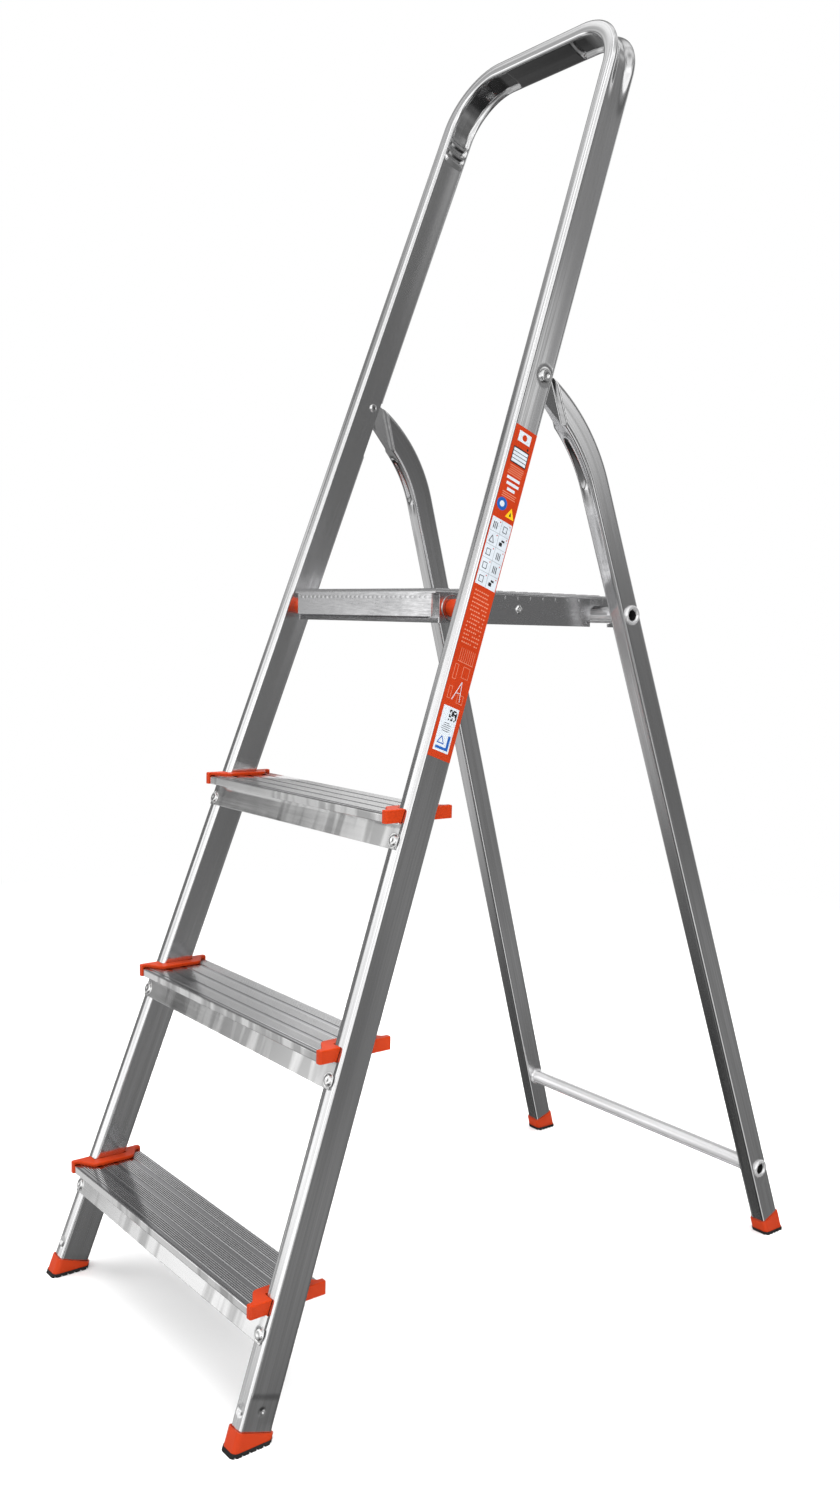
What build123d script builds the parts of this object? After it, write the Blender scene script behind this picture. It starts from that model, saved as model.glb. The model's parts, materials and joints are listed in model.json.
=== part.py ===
from build123d import *
import math
import os

# Platform step ladder: three treads and a platform, a bent tube front frame and
# hinged rear legs.  Millimetres, +Z up, +Y towards the rear legs, climbing side
# at -Y.  The origin is on the floor, in the middle of the footprint.

# ---- driving dimensions -----------------------------------------------------
TREAD_SPACING = 240.0
FIRST_TREAD = 138.0
TREADS = 3
PLATFORM_TOP = FIRST_TREAD + TREADS * TREAD_SPACING

FRONT_LEAN = 19.6          # front frame from vertical, degrees
STILE_DEPTH = 40.0         # front tube, front to rear
STILE_WIDTH = 20.0         # front tube, side to side
STILE_FOOT_X = 228.5       # outer face of a stile at the floor
STILE_FLARE = 0.049        # sideways per unit of height
HOOP_LENGTH = 1645.0       # floor to top bar, along the stiles
HOOP_RADIUS = 70.0         # centreline radius of the two bends
TUBE_WALL = 1.5
TUBE_CORNER = 4.0

LEG_LEAN = 18.7            # rear legs from vertical, degrees
LEG_DEPTH = 30.0
LEG_WIDTH = 22.0
LEG_CORNER = 3.5
LEG_FOOT_X = 236.0         # outer face of a rear leg at the floor
LEG_FLARE = 0.0585         # sideways per unit of height
LEG_FOOT_Y = 861.0         # rear face of a rear leg at the floor
LEG_REAR_BEND = 205.0
LEG_FRONT_BEND = 175.0
LEG_TOP_REAR_LEAN = 58.0   # the leg's rear face at its top end, degrees
LEG_TOP_FRONT_LEAN = 47.0
HINGE_HEIGHT = 1099.0
HINGE_DEPTH = 26.4         # behind the stile's front face
HINGE_PIN = 4.0            # radius
HINGE_BORE = 4.06
TONGUE_HALF = 1.6          # half the thickness of the flattened top end
TONGUE_END = 12.0          # radius of the tongue round the pin
SLOT_HALF = 5.5
SLOT_ABOVE = 11.0          # slot's ends above and below the pin
SLOT_BELOW = 63.0
SLOT_MIDDLE_Z = 1075.0
FOLD_ANGLE = 37.5          # open to folded

SHOE_WALL = 2.0
SHOE_HEIGHT = 24.0         # along the tube, from the floor
SHOE_FLOOR = 2.5
SOLE_THICK = 4.5
SOLE_RIM = 0.5
SOLE_GROOVES = 6

BRACE_RADIUS = 10.0        # both cross tubes
BRACE_WALL = 1.5
BRACE_COLLAR = 12.3
COLLAR_LENGTH = 3.2
LOWER_BRACE_Z = 96.0
UPPER_BRACE_Z = 834.0

TREAD_OVERHANG = 22.5      # tread ahead of the stile, and behind it
TREAD_BOX = 10.0           # height of the tread's box
TREAD_WALL = 1.8
TREAD_END_GAP = 8.0        # tread end to the stile's outer face
APRON_END_GAP = 3.0        # apron end to the stile's outer face
APRON_DROP = 37.5
APRON_WALL = 2.0
RIB_HEIGHT = 0.8
RIB_WIDTH = 1.3
RIB_PITCH = 2.6
RIBS_IN_BAND = 6
BAND_PITCH = 21.0
BANDS = 4
TREAD_RIVET_DROP = 29.0
TREAD_RIVET = 3.0

CAP_WALL = 1.8
CAP_RISE = 4.2             # cap above the tread
CAP_STRIP = 14.0           # cap inboard of the stile
FIT_GAP = 0.3

PAN_HALF_WIDTH = 142.0
PAN_SHEET = 2.0
PAN_FRONT = 294.5          # from the stile's front face at the floor
PAN_REAR = 590.0
PAN_SIDE_DROP = 38.0
PAN_FRONT_DROP = 31.0
PAN_REAR_DROP = 24.0
PAN_CORNER_GAP = 4.5
PAN_RIB_PITCH = 20.0
PAN_RIB_HEIGHT = 1.0
HOOK_MOUTH = 24.5          # hook's front edge ahead of the cross tube's centre
HOOK_LIP = 7.2             # hook's lip behind the cross tube's centre
PLATFORM_PIN_Z = 836.0
PLATFORM_PIN = 4.0         # radius
PLATFORM_BORE = 4.06
BUSH_RADIUS = 10.0
STIFFENER_Y = 420.0
STIFFENER_RIVET_Z = 837.0
STIFFENER_RIVET = 3.0

LABEL_LOW = 722.0          # along the stile
LABEL_HIGH = 1107.0
LABEL_WIDTH = 33.0
LABEL_THICK = 0.3

# ---- worked out from them ---------------------------------------------------
LEAN = math.radians(FRONT_LEAN)
SIN_A, COS_A, TAN_A = math.sin(LEAN), math.cos(LEAN), math.tan(LEAN)
COS_B = math.cos(math.radians(LEG_LEAN))
TAN_B = math.tan(math.radians(LEG_LEAN))
FRONT_EDGE = -(SHOE_WALL + SOLE_RIM) / COS_A
REAR_EDGE = LEG_FOOT_Y + (SHOE_WALL + SOLE_RIM) / COS_B
Y0 = -(FRONT_EDGE + REAR_EDGE) / 2     # stile's front face at the floor
STILE_THROUGH = STILE_DEPTH / COS_A    # level distance through a stile
HINGE_Y = HINGE_HEIGHT * TAN_A + HINGE_DEPTH / COS_A
PLATFORM_PIN_Y = PLATFORM_PIN_Z * TAN_A + STILE_THROUGH / 2
FLARE_ANGLE = math.atan(STILE_FLARE * COS_A)
SPLAY = math.atan(LEG_FLARE)
DECK_Z = PLATFORM_TOP - PAN_RIB_HEIGHT
SIDES = ("left", "right")
FAR = 3000.0


# ---- helpers ----------------------------------------------------------------
def stile_outer_x(z):
    return STILE_FOOT_X - STILE_FLARE * z


def stile_inner_x(z):
    return stile_outer_x(z) - STILE_WIDTH / math.cos(FLARE_ANGLE)


def leg_middle_x(z):
    return LEG_FOOT_X - LEG_WIDTH / 2 / math.cos(SPLAY) - LEG_FLARE * z


def leg_middle_y(z):
    return LEG_FOOT_Y - z * TAN_B - LEG_DEPTH / 2 / COS_B


def block(x, y, z):
    """A box from (low, high) pairs; y counts from the stile's front face at the floor."""
    middle = Pos(sum(x) / 2, Y0 + sum(y) / 2, sum(z) / 2)
    return middle * Box(x[1] - x[0], y[1] - y[0], z[1] - z[0])


def rod(radius, x, y, z):
    """A cylinder along X; y counts from the stile's front face at the floor."""
    return Pos(sum(x) / 2, Y0 + y, z) * Rot(0, 90, 0) * Cylinder(radius, x[1] - x[0])


def under(z):
    return block((-FAR, FAR), (-FAR, FAR), (-FAR, z))


def on_side(shape, side):
    return shape if side == "right" else shape.mirror(Plane.YZ)


def profile(points, radii=0.0):
    """A face in the side view from (y, z) points, y from the stile's front face."""
    outline = FilletPolyline(*[(Y0 + y, z) for y, z in points], radius=radii, close=True)
    return Plane.YZ * make_face(outline)


def meeting(point_a, lean_a, point_b, lean_b):
    """Where two side-view lines meet; a lean is degrees from vertical, rearwards going down."""
    ay, az = math.sin(math.radians(lean_a)), -math.cos(math.radians(lean_a))
    by, bz = math.sin(math.radians(lean_b)), -math.cos(math.radians(lean_b))
    dy, dz = point_b[0] - point_a[0], point_b[1] - point_a[1]
    along = (dy * bz - dz * by) / (ay * bz - az * by)
    return point_a[0] + along * ay, point_a[1] + along * az


# ---- front frame ------------------------------------------------------------
FRAME_PLANE = Plane(origin=(0, Y0, 0), x_dir=(1, 0, 0), z_dir=(0, -COS_A, SIN_A))


def stile_section(up):
    """Plane across the right stile: local x to the rear, local y inwards, z up the stile."""
    x = STILE_FOOT_X - STILE_WIDTH / 2 / math.cos(FLARE_ANGLE) - up * math.tan(FLARE_ANGLE)
    middle = FRAME_PLANE.from_local_coords(Vector(x, up, -STILE_DEPTH / 2))
    along = Vector(-math.sin(FLARE_ANGLE), math.cos(FLARE_ANGLE) * SIN_A, math.cos(FLARE_ANGLE) * COS_A)
    return Plane(origin=middle, x_dir=(0, COS_A, -SIN_A), z_dir=along)


def stile_bar(front=0.0, rear=0.0, inner=0.0, outer=0.0, low=-60.0, high=1500.0):
    """A square-cornered bar in the right stile's place, grown by the given amounts."""
    size = Box(STILE_DEPTH + front + rear, STILE_WIDTH + inner + outer, high - low)
    offset = Pos((rear - front) / 2, (inner - outer) / 2, (high - low) / 2)
    return stile_section(low).location * offset * size


def hoop(depth, width, corner):
    """The whole front frame as one solid bar of the given section."""
    middle = Plane(FRAME_PLANE.location * Pos(0, 0, -STILE_DEPTH / 2))
    half_foot = STILE_FOOT_X - STILE_WIDTH / 2 / math.cos(FLARE_ANGLE)
    top = HOOP_LENGTH - STILE_WIDTH / 2
    half_top = half_foot - top * math.tan(FLARE_ANGLE)
    low = -40.0
    half_low = half_foot - low * math.tan(FLARE_ANGLE)
    corners = [(half_low, low), (half_top, top), (-half_top, top), (-half_low, low)]
    path = middle * FilletPolyline(*corners, radius=HOOP_RADIUS)
    section = stile_section(low) * RectangleRounded(depth, width, corner)
    return sweep(section, path=path)


def hinge_slot():
    """The slot in a stile's rear wall that the leg's tongue turns in."""
    up = HINGE_Y * SIN_A + HINGE_HEIGHT * COS_A
    middle = up + (SLOT_ABOVE - SLOT_BELOW) / 2
    inwards = stile_outer_x(SLOT_MIDDLE_Z) - STILE_WIDTH / 2 - leg_middle_x(SLOT_MIDDLE_Z)
    size = Box(3 * TUBE_WALL, 2 * SLOT_HALF, SLOT_ABOVE + SLOT_BELOW)
    return stile_section(middle).location * Pos(STILE_DEPTH / 2, inwards, 0) * size


def front_frame_tube():
    tube = hoop(STILE_DEPTH, STILE_WIDTH, TUBE_CORNER)
    inside = 2 * TUBE_WALL
    tube -= hoop(STILE_DEPTH - inside, STILE_WIDTH - inside, TUBE_CORNER - TUBE_WALL)
    tube -= under(SOLE_THICK + SHOE_FLOOR)
    x_in = stile_inner_x(PLATFORM_PIN_Z)
    cuts = [hinge_slot()]
    cuts.append(rod(HINGE_PIN, (120, 200), HINGE_Y, HINGE_HEIGHT))
    cuts.append(rod(PLATFORM_PIN, (x_in - 5, x_in + 5), PLATFORM_PIN_Y, PLATFORM_PIN_Z))
    for height in tread_heights():
        cuts.append(tread_rivet_place(height) * Cylinder(TREAD_RIVET, 12))
    for cut in cuts:
        for side in SIDES:
            tube -= on_side(cut, side)
    return tube


# ---- treads -----------------------------------------------------------------
def tread_heights():
    return [FIRST_TREAD + number * TREAD_SPACING for number in range(TREADS)]


def tread_outline(height, top=0.0):
    """The tread's closed outer section; top raises its upper face."""
    front = height * TAN_A
    rear = front + STILE_THROUGH
    box_low = height - TREAD_BOX
    apron_low = height - APRON_DROP
    skin = APRON_WALL / COS_A
    points = [
        (front - TREAD_OVERHANG, height + top),
        (rear + TREAD_OVERHANG, height + top),
        (rear + TREAD_OVERHANG, box_low),
        (box_low * TAN_A, box_low),
        (apron_low * TAN_A, apron_low),
        (apron_low * TAN_A - skin, apron_low),
        (box_low * TAN_A - skin, box_low),
        (front - TREAD_OVERHANG, box_low),
    ]
    return profile(points, [2.0, 2.0, 1.5, 0.0, 0.6, 0.6, 2.0, 1.5])


def tread_hollows(height):
    """The three chambers inside the tread's box."""
    front = height * TAN_A
    rear = front + STILE_THROUGH
    low, high = height - TREAD_BOX + TREAD_WALL, height - TREAD_WALL
    walls = [front - TREAD_OVERHANG, front - 6.0, front + 28.0, rear + TREAD_OVERHANG]
    faces = []
    for start, end in zip(walls, walls[1:]):
        left = start + (TREAD_WALL if start == walls[0] else TREAD_WALL / 2)
        right = end - (TREAD_WALL if end == walls[-1] else TREAD_WALL / 2)
        faces.append(profile([(left, low), (right, low), (right, high), (left, high)]))
    return faces


def tread_ribs(height):
    """Fine ribs along the tread, in bands with flat strips between."""
    first = height * TAN_A - TREAD_OVERHANG + 6.0
    ribs = []
    for band in range(BANDS):
        for number in range(RIBS_IN_BAND):
            y = first + band * BAND_PITCH + number * RIB_PITCH
            low, high = height - 0.5, height + RIB_HEIGHT
            corners = [(y, low), (y + RIB_WIDTH, low), (y + RIB_WIDTH - 0.3, high), (y + 0.3, high)]
            ribs.append(profile(corners))
    return ribs


def apron(height):
    """The tread's apron, which runs on past the tread's ends to take the rivets."""
    high, low = height - TREAD_BOX, height - APRON_DROP
    skin = APRON_WALL / COS_A
    corners = [
        (high * TAN_A, high),
        (low * TAN_A, low),
        (low * TAN_A - skin, low),
        (high * TAN_A - skin, high),
    ]
    half = stile_outer_x(height) - APRON_END_GAP
    return extrude(profile(corners, [0.0, 0.6, 0.6, 0.0]), amount=half, both=True)


def tread(height):
    half = stile_outer_x(height) - TREAD_END_GAP
    section = tread_outline(height)
    for rib in tread_ribs(height):
        section += rib
    for hollow in tread_hollows(height):
        section -= hollow
    body = extrude(section, amount=half, both=True) + apron(height)
    notch = stile_bar(front=0.0, rear=FIT_GAP, inner=CAP_WALL + FIT_GAP, outer=20.0)
    hole = tread_rivet_place(height) * Cylinder(TREAD_RIVET, 12)
    for side in SIDES:
        body -= on_side(notch, side)
        body -= on_side(hole, side)
    return body


def cap_plan(height):
    """The cap's outline from above: wide ahead of and behind the stile, a strip beside it."""
    inner, outer = stile_inner_x(height), stile_outer_x(height) - TREAD_END_GAP + CAP_WALL
    front = height * TAN_A
    rear = front + STILE_THROUGH
    reach = TREAD_OVERHANG + CAP_WALL
    points = [
        (outer, front - reach),
        (inner + 6, front - reach),
        (inner + 6, front - 17),
        (inner - CAP_STRIP, front - 5),
        (inner - CAP_STRIP, rear + 5),
        (inner + 6, rear + 17),
        (inner + 6, rear + reach),
        (outer, rear + reach),
    ]
    placed = [(x, Y0 + y) for x, y in points]
    outline = FilletPolyline(*placed, radius=[2.5, 1.5, 6, 9, 9, 6, 1.5, 2.5], close=True)
    return make_face(outline)


def tread_cap(height):
    """The right-hand end cap of a tread."""
    low, high = height - TREAD_BOX, height + CAP_RISE
    body = extrude(Pos(0, 0, low) * cap_plan(height), amount=high - low)
    body = fillet(body.faces().sort_by(Axis.Z)[-1].edges(), 1.2)
    half = stile_outer_x(height) - TREAD_END_GAP
    body -= extrude(tread_outline(height, RIB_HEIGHT), amount=half, both=True)
    body += cap_notch_wall(height)
    body -= stile_bar(FIT_GAP, FIT_GAP, FIT_GAP, 30.0)
    return body


def cap_notch_wall(height):
    """The cap's wall along the tread's notch, joining its upper and lower plates."""
    around = stile_bar(front=-1.0, rear=-1.0, inner=CAP_WALL + FIT_GAP, outer=-1.0)
    slab = block((0, 400), (-100, 600), (height - TREAD_BOX, height + RIB_HEIGHT))
    return around & slab


def tread_rivet_place(height):
    """Where a tread's right-hand rivet goes through the stile's front wall."""
    z = height - TREAD_RIVET_DROP
    up = z / COS_A
    return stile_section(up).location * Pos(-STILE_DEPTH / 2, 0, 0) * Rot(0, 90, 0)


def tread_rivets(height):
    """Two rivets, each with a domed head, a shank and a tail inside the stile."""
    dome = Pos(0, 0, -APRON_WALL - 1.0) * Cylinder(6.2, 2.0)
    dome = fillet(dome.faces().sort_by(Axis.Z)[0].edges(), 1.4)
    shank = Pos(0, 0, 0.25) * Cylinder(TREAD_RIVET, APRON_WALL + TUBE_WALL + 3.0)
    tail = Pos(0, 0, TUBE_WALL + 1.5) * Cylinder(4.6, 3.0)
    rivet = tread_rivet_place(height) * (dome + shank + tail)
    return Compound([on_side(rivet, side) for side in SIDES])


# ---- feet -------------------------------------------------------------------
def shoe_parts(depth, width, tube_corner, section_plane, side):
    """A moulded shoe and its ribbed rubber sole, for a tube of the given section."""
    corner = tube_corner + SHOE_WALL
    grow = 2 * SHOE_WALL
    outside = RectangleRounded(depth + grow, width + grow, corner)
    tread_face = RectangleRounded(depth + grow + 2 * SOLE_RIM, width + grow + 2 * SOLE_RIM, corner)
    start = section_plane(-60.0)
    length = 60.0 + SHOE_HEIGHT
    shoe = extrude(start * outside, amount=length) - under(SOLE_THICK)
    pocket = extrude(start * RectangleRounded(depth, width, tube_corner), amount=length + 5)
    shoe -= pocket - under(SOLE_THICK + SHOE_FLOOR)
    sole = extrude(start * tread_face, amount=length)
    sole -= under(0)
    sole &= under(SOLE_THICK)
    box = sole.bounding_box()
    pitch = (box.max.Y - box.min.Y) / SOLE_GROOVES
    for number in range(SOLE_GROOVES):
        middle = box.min.Y + pitch * (number + 0.5)
        groove = Pos(0, middle, 0.9) * Box(FAR, 2.6, 1.8)
        sole -= groove
    return on_side(shoe, side), on_side(sole, side)


# ---- hinge and platform pins ------------------------------------------------
def hinge_rivet():
    """The leg's pivot: a shank through both walls of the right stile, headed at each side."""
    z = HINGE_HEIGHT
    inner, outer = stile_inner_x(z), stile_outer_x(z)
    pin = rod(HINGE_PIN, (inner - 2.2, outer + 1.6), HINGE_Y, z)
    pin += rod(5.6, (inner - 2.0, inner + 1.0), HINGE_Y, z) - stile_bar()
    big_head = rod(7.6, (outer - 1.0, outer + 2.4), HINGE_Y, z)
    big_head = fillet(big_head.faces().sort_by(Axis.X)[-1].edges(), 1.0)
    pin += big_head - stile_bar()
    pin -= rod(2.0, (outer - 3.0, outer + 5.0), HINGE_Y, z)
    pin -= rod(1.8, (inner - 5.0, inner + 3.0), HINGE_Y, z)
    return pin


def platform_bush():
    """The spacer between the platform's flange and the right stile."""
    inner = stile_inner_x(PLATFORM_PIN_Z)
    bush = rod(BUSH_RADIUS, (PAN_HALF_WIDTH + FIT_GAP, inner + 2), PLATFORM_PIN_Y, PLATFORM_PIN_Z)
    bush -= rod(PLATFORM_PIN, (100, 200), PLATFORM_PIN_Y, PLATFORM_PIN_Z)
    return bush - stile_bar()


def platform_rivet():
    """The platform's pivot: flange, bush and the stile's inner wall."""
    inner = stile_inner_x(PLATFORM_PIN_Z)
    inside = PAN_HALF_WIDTH - PAN_SHEET
    pin = rod(PLATFORM_PIN, (inside - 2.5, inner + 4.5), PLATFORM_PIN_Y, PLATFORM_PIN_Z)
    head = rod(8.0, (inside - 2.8, inside - FIT_GAP), PLATFORM_PIN_Y, PLATFORM_PIN_Z)
    pin += fillet(head.faces().sort_by(Axis.X)[0].edges(), 1.0)
    tail = rod(6.0, (inner + 1.0, inner + 5.0), PLATFORM_PIN_Y, PLATFORM_PIN_Z)
    wall = stile_bar() - stile_bar(inner=-TUBE_WALL)
    return pin + (tail - wall)


def rating_label():
    """A plain printed label on the outer face of the right stile."""
    length = LABEL_HIGH - LABEL_LOW
    place = stile_section(LABEL_LOW).location
    outward = -(STILE_WIDTH + LABEL_THICK) / 2
    return place * Pos(0.8, outward, length / 2) * Box(LABEL_WIDTH, LABEL_THICK, length)


# ---- rear legs --------------------------------------------------------------
LEG_PLANE = Plane(
    origin=(leg_middle_x(0), Y0, 0),
    x_dir=(0, 1, 0),
    z_dir=(math.cos(SPLAY), 0, math.sin(SPLAY)),
)
HINGE_UP = HINGE_HEIGHT / math.cos(SPLAY)


def leg_side_view(shrink=0.0):
    """The leg in side view: straight, then bent forward and narrowing to the hinge."""
    rear_lean, front_lean = math.radians(LEG_TOP_REAR_LEAN), math.radians(LEG_TOP_FRONT_LEAN)
    above, below = 10.0 - shrink, 14.0 - shrink
    rear_end = (HINGE_Y + above * math.cos(rear_lean), HINGE_UP + above * math.sin(rear_lean))
    front_end = (HINGE_Y - below * math.cos(front_lean), HINGE_UP - below * math.sin(front_lean))
    inset = shrink / COS_B
    rear_foot = (LEG_FOOT_Y - inset + 60 * TAN_B, -60.0)
    front_foot = (LEG_FOOT_Y + inset - LEG_DEPTH / COS_B + 60 * TAN_B, -60.0)
    rear_corner = meeting(rear_foot, LEG_LEAN, rear_end, LEG_TOP_REAR_LEAN)
    front_corner = meeting(front_foot, LEG_LEAN, front_end, LEG_TOP_FRONT_LEAN)
    points = [rear_foot, rear_corner, rear_end, front_end, front_corner, front_foot]
    radii = [0.0, LEG_REAR_BEND - shrink, 0.0, 0.0, LEG_FRONT_BEND + shrink, 0.0]
    return make_face(FilletPolyline(*points, radius=radii, close=True))


def leg_bar(shrink, corner):
    """The right leg's tube as a solid bar, full width up to the hinge."""
    half = LEG_WIDTH / 2 - shrink
    bar = LEG_PLANE.location * extrude(leg_side_view(shrink), amount=half, both=True)
    across = LEG_PLANE.z_dir
    flats = [face for face in bar.faces() if abs(face.normal_at().dot(across)) > 0.999]
    edges = [edge for face in flats for edge in face.edges() if edge.length > 60]
    return fillet(edges, corner)


def tongue_envelope(start):
    """What the flattened end keeps: thin round the pin, full width from start onwards."""
    turn = math.radians(FOLD_ANGLE - FRONT_LEAN)
    away = LEG_PLANE.x_dir * math.cos(turn) + LEG_PLANE.y_dir * math.sin(turn)
    origin = LEG_PLANE.from_local_coords(Vector(HINGE_Y, HINGE_UP, 0))
    plane = Plane(origin=origin, x_dir=away, z_dir=away.cross(LEG_PLANE.z_dir))
    points = [(-40, TONGUE_HALF), (5, TONGUE_HALF), (15.2, 4.4), (start, 11.5), (1600, 11.5)]
    points += [(q, -half) for q, half in reversed(points)]
    return extrude(plane * make_face(Polyline(*points, close=True)), amount=FAR, both=True)


def rear_leg():
    """The right rear leg, from its hinge tongue down to the shoe."""
    leg = leg_bar(0.0, LEG_CORNER)
    end = LEG_PLANE.location * Pos(HINGE_Y, HINGE_UP, 0) * Cylinder(TONGUE_END, 2 * TONGUE_HALF)
    leg = (leg & tongue_envelope(22.0)) + end
    hollow = leg_bar(TUBE_WALL, LEG_CORNER - TUBE_WALL)
    turn = math.radians(FOLD_ANGLE - FRONT_LEAN)
    away = LEG_PLANE.x_dir * math.cos(turn) + LEG_PLANE.y_dir * math.sin(turn)
    start = LEG_PLANE.from_local_coords(Vector(HINGE_Y, HINGE_UP, 0)) + away * 24.0
    cap = Plane(origin=start, z_dir=away)
    hollow &= cap.location * Pos(0, 0, FAR / 2) * Box(2 * FAR, 2 * FAR, FAR)
    leg -= hollow
    leg -= under(SOLE_THICK + SHOE_FLOOR)
    leg -= rod(HINGE_BORE, (100, 220), HINGE_Y, HINGE_HEIGHT)
    for z in (LOWER_BRACE_Z, UPPER_BRACE_Z):
        leg -= rod(BRACE_RADIUS, (100, 300), leg_middle_y(z), z)
    return leg


def leg_section(up):
    """Plane across the right leg: local x to the rear, local y inwards, z up the leg."""
    lean = math.radians(LEG_LEAN)
    along = LEG_PLANE.y_dir * math.cos(lean) - LEG_PLANE.x_dir * math.sin(lean)
    rear = LEG_PLANE.x_dir * math.cos(lean) + LEG_PLANE.y_dir * math.sin(lean)
    foot = LEG_PLANE.from_local_coords(Vector(LEG_FOOT_Y - LEG_DEPTH / 2 / COS_B, 0, 0))
    return Plane(origin=foot + along * up, x_dir=rear, z_dir=along)


def brace(z):
    """A round cross tube with a bead inside each leg and a rolled ring outside it."""
    y = leg_middle_y(z)
    outer = leg_middle_x(z) + LEG_WIDTH / 2
    inner = leg_middle_x(z) - LEG_WIDTH / 2
    end = outer + COLLAR_LENGTH
    tube = rod(BRACE_RADIUS, (-end, end), y, z)
    ring = rod(BRACE_COLLAR, (outer - 1.0, end), y, z)
    ring = fillet(ring.faces().sort_by(Axis.X)[-1].edges(), 1.5)
    bead = rod(BRACE_COLLAR, (inner - COLLAR_LENGTH, inner + 1.0), y, z)
    bead = fillet(bead.faces().sort_by(Axis.X)[0].edges(), 1.5)
    through_leg = LEG_PLANE.location * Box(FAR, FAR, LEG_WIDTH)
    for collar in (ring, bead):
        collar -= through_leg
        tube += collar + collar.mirror(Plane.YZ)
    return tube - rod(BRACE_RADIUS - BRACE_WALL, (-FAR, FAR), y, z)


# ---- platform ---------------------------------------------------------------
def platform_pan():
    """A folded sheet pan: deck, side, front and rear flanges, and hooks for the cross tube."""
    wide, drop = PAN_HALF_WIDTH, DECK_Z - PAN_SIDE_DROP
    pan = block((-wide, wide), (PAN_FRONT, PAN_REAR), (drop, DECK_Z))
    pan = fillet(pan.faces().sort_by(Axis.Z)[-1].edges(), 4.0)
    inside = wide - PAN_SHEET
    room = (PAN_FRONT + PAN_SHEET, PAN_REAR - PAN_SHEET)
    core = block((-inside, inside), room, (drop - 50, DECK_Z - PAN_SHEET))
    pan -= fillet(core.faces().sort_by(Axis.Z)[-1].edges(), 2.0)
    flat = inside - PAN_CORNER_GAP
    pan -= block((-flat - 9, flat + 9), (PAN_FRONT - 5, PAN_FRONT + 4), (0, DECK_Z - PAN_FRONT_DROP))
    pan -= block((-flat - 9, flat + 9), (PAN_REAR - 4, PAN_REAR + 5), (0, DECK_Z - PAN_REAR_DROP))
    for side in SIDES:
        for cut in pan_side_cuts():
            pan -= on_side(cut, side)
    for number in range(13):
        y = PAN_FRONT + 24 + number * PAN_RIB_PITCH
        rib = block((-wide + 9, wide - 9), (y - 4.5, y + 4.5), (DECK_Z - 0.5, PLATFORM_TOP))
        pan += chamfer(rib.faces().sort_by(Axis.Z)[-1].edges(), 0.8)
    return pan


def pan_side_cuts():
    """Openings in the right flange: corner gaps, pivot, rivet and the hook."""
    wide = PAN_HALF_WIDTH
    through = (wide - 8, wide + 8)
    low = DECK_Z - PAN_SIDE_DROP - 5
    corner = (wide - PAN_SHEET - PAN_CORNER_GAP, wide + 5)
    tube_y = leg_middle_y(UPPER_BRACE_Z)
    roof = UPPER_BRACE_Z + BRACE_RADIUS + 0.6
    back = tube_y + BRACE_RADIUS + 0.6
    front = tube_y - HOOK_MOUTH
    hook = block(through, (front, back), (UPPER_BRACE_Z - BRACE_RADIUS - 0.8, roof))
    upright = hook.edges().filter_by(Axis.X).group_by(Axis.Z)[-1]
    hook = fillet(upright, 8.0)
    mouth = block(through, (front, tube_y + HOOK_LIP), (low, UPPER_BRACE_Z))
    return [
        block(corner, (PAN_FRONT - 5, PAN_FRONT + PAN_SHEET + PAN_CORNER_GAP), (low, DECK_Z - 5)),
        block(corner, (PAN_REAR - PAN_SHEET - 3, PAN_REAR + 5), (low, DECK_Z - 5)),
        rod(PLATFORM_BORE, through, PLATFORM_PIN_Y, PLATFORM_PIN_Z),
        rod(STIFFENER_RIVET, through, STIFFENER_Y, STIFFENER_RIVET_Z),
        hook,
        mouth,
    ]


def platform_stiffener():
    """A channel under the deck, riveted between the side flanges."""
    half = PAN_HALF_WIDTH - PAN_SHEET
    top = DECK_Z - PAN_SHEET
    low = top - 30
    y = (STIFFENER_Y - 9, STIFFENER_Y + 9)
    channel = block((-half, half), y, (low, top))
    channel -= block((-half + 2, half - 2), (y[0] + 1.5, y[1] - 1.5), (low - 5, top - 1.5))
    edges = channel.edges().filter_by(Axis.Z).filter_by(lambda e: abs(e.center().X) > half - 1)
    channel = fillet(edges, 1.2)
    shoulders = channel.edges().filter_by(Axis.Y).group_by(Axis.Z)[-1]
    channel = fillet(shoulders.filter_by(lambda e: abs(e.center().X) > half - 1), 2.3)
    return channel - rod(STIFFENER_RIVET, (-FAR, FAR), STIFFENER_Y, STIFFENER_RIVET_Z)


def platform_rivets():
    """Two hollow rivets that hold the stiffener to the side flanges."""
    out = PAN_HALF_WIDTH
    y, z = STIFFENER_Y, STIFFENER_RIVET_Z
    rivet = rod(STIFFENER_RIVET, (out - 6.5, out + 1.0), y, z)
    head = rod(5.0, (out, out + 1.6), y, z)
    rivet += fillet(head.faces().sort_by(Axis.X)[-1].edges(), 1.0)
    rivet += rod(4.2, (out - 6.5, out - PAN_SHEET - 2.0), y, z)
    rivet -= rod(1.5, (out - 10, out + 10), y, z)
    return Compound([on_side(rivet, side) for side in SIDES])


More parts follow.
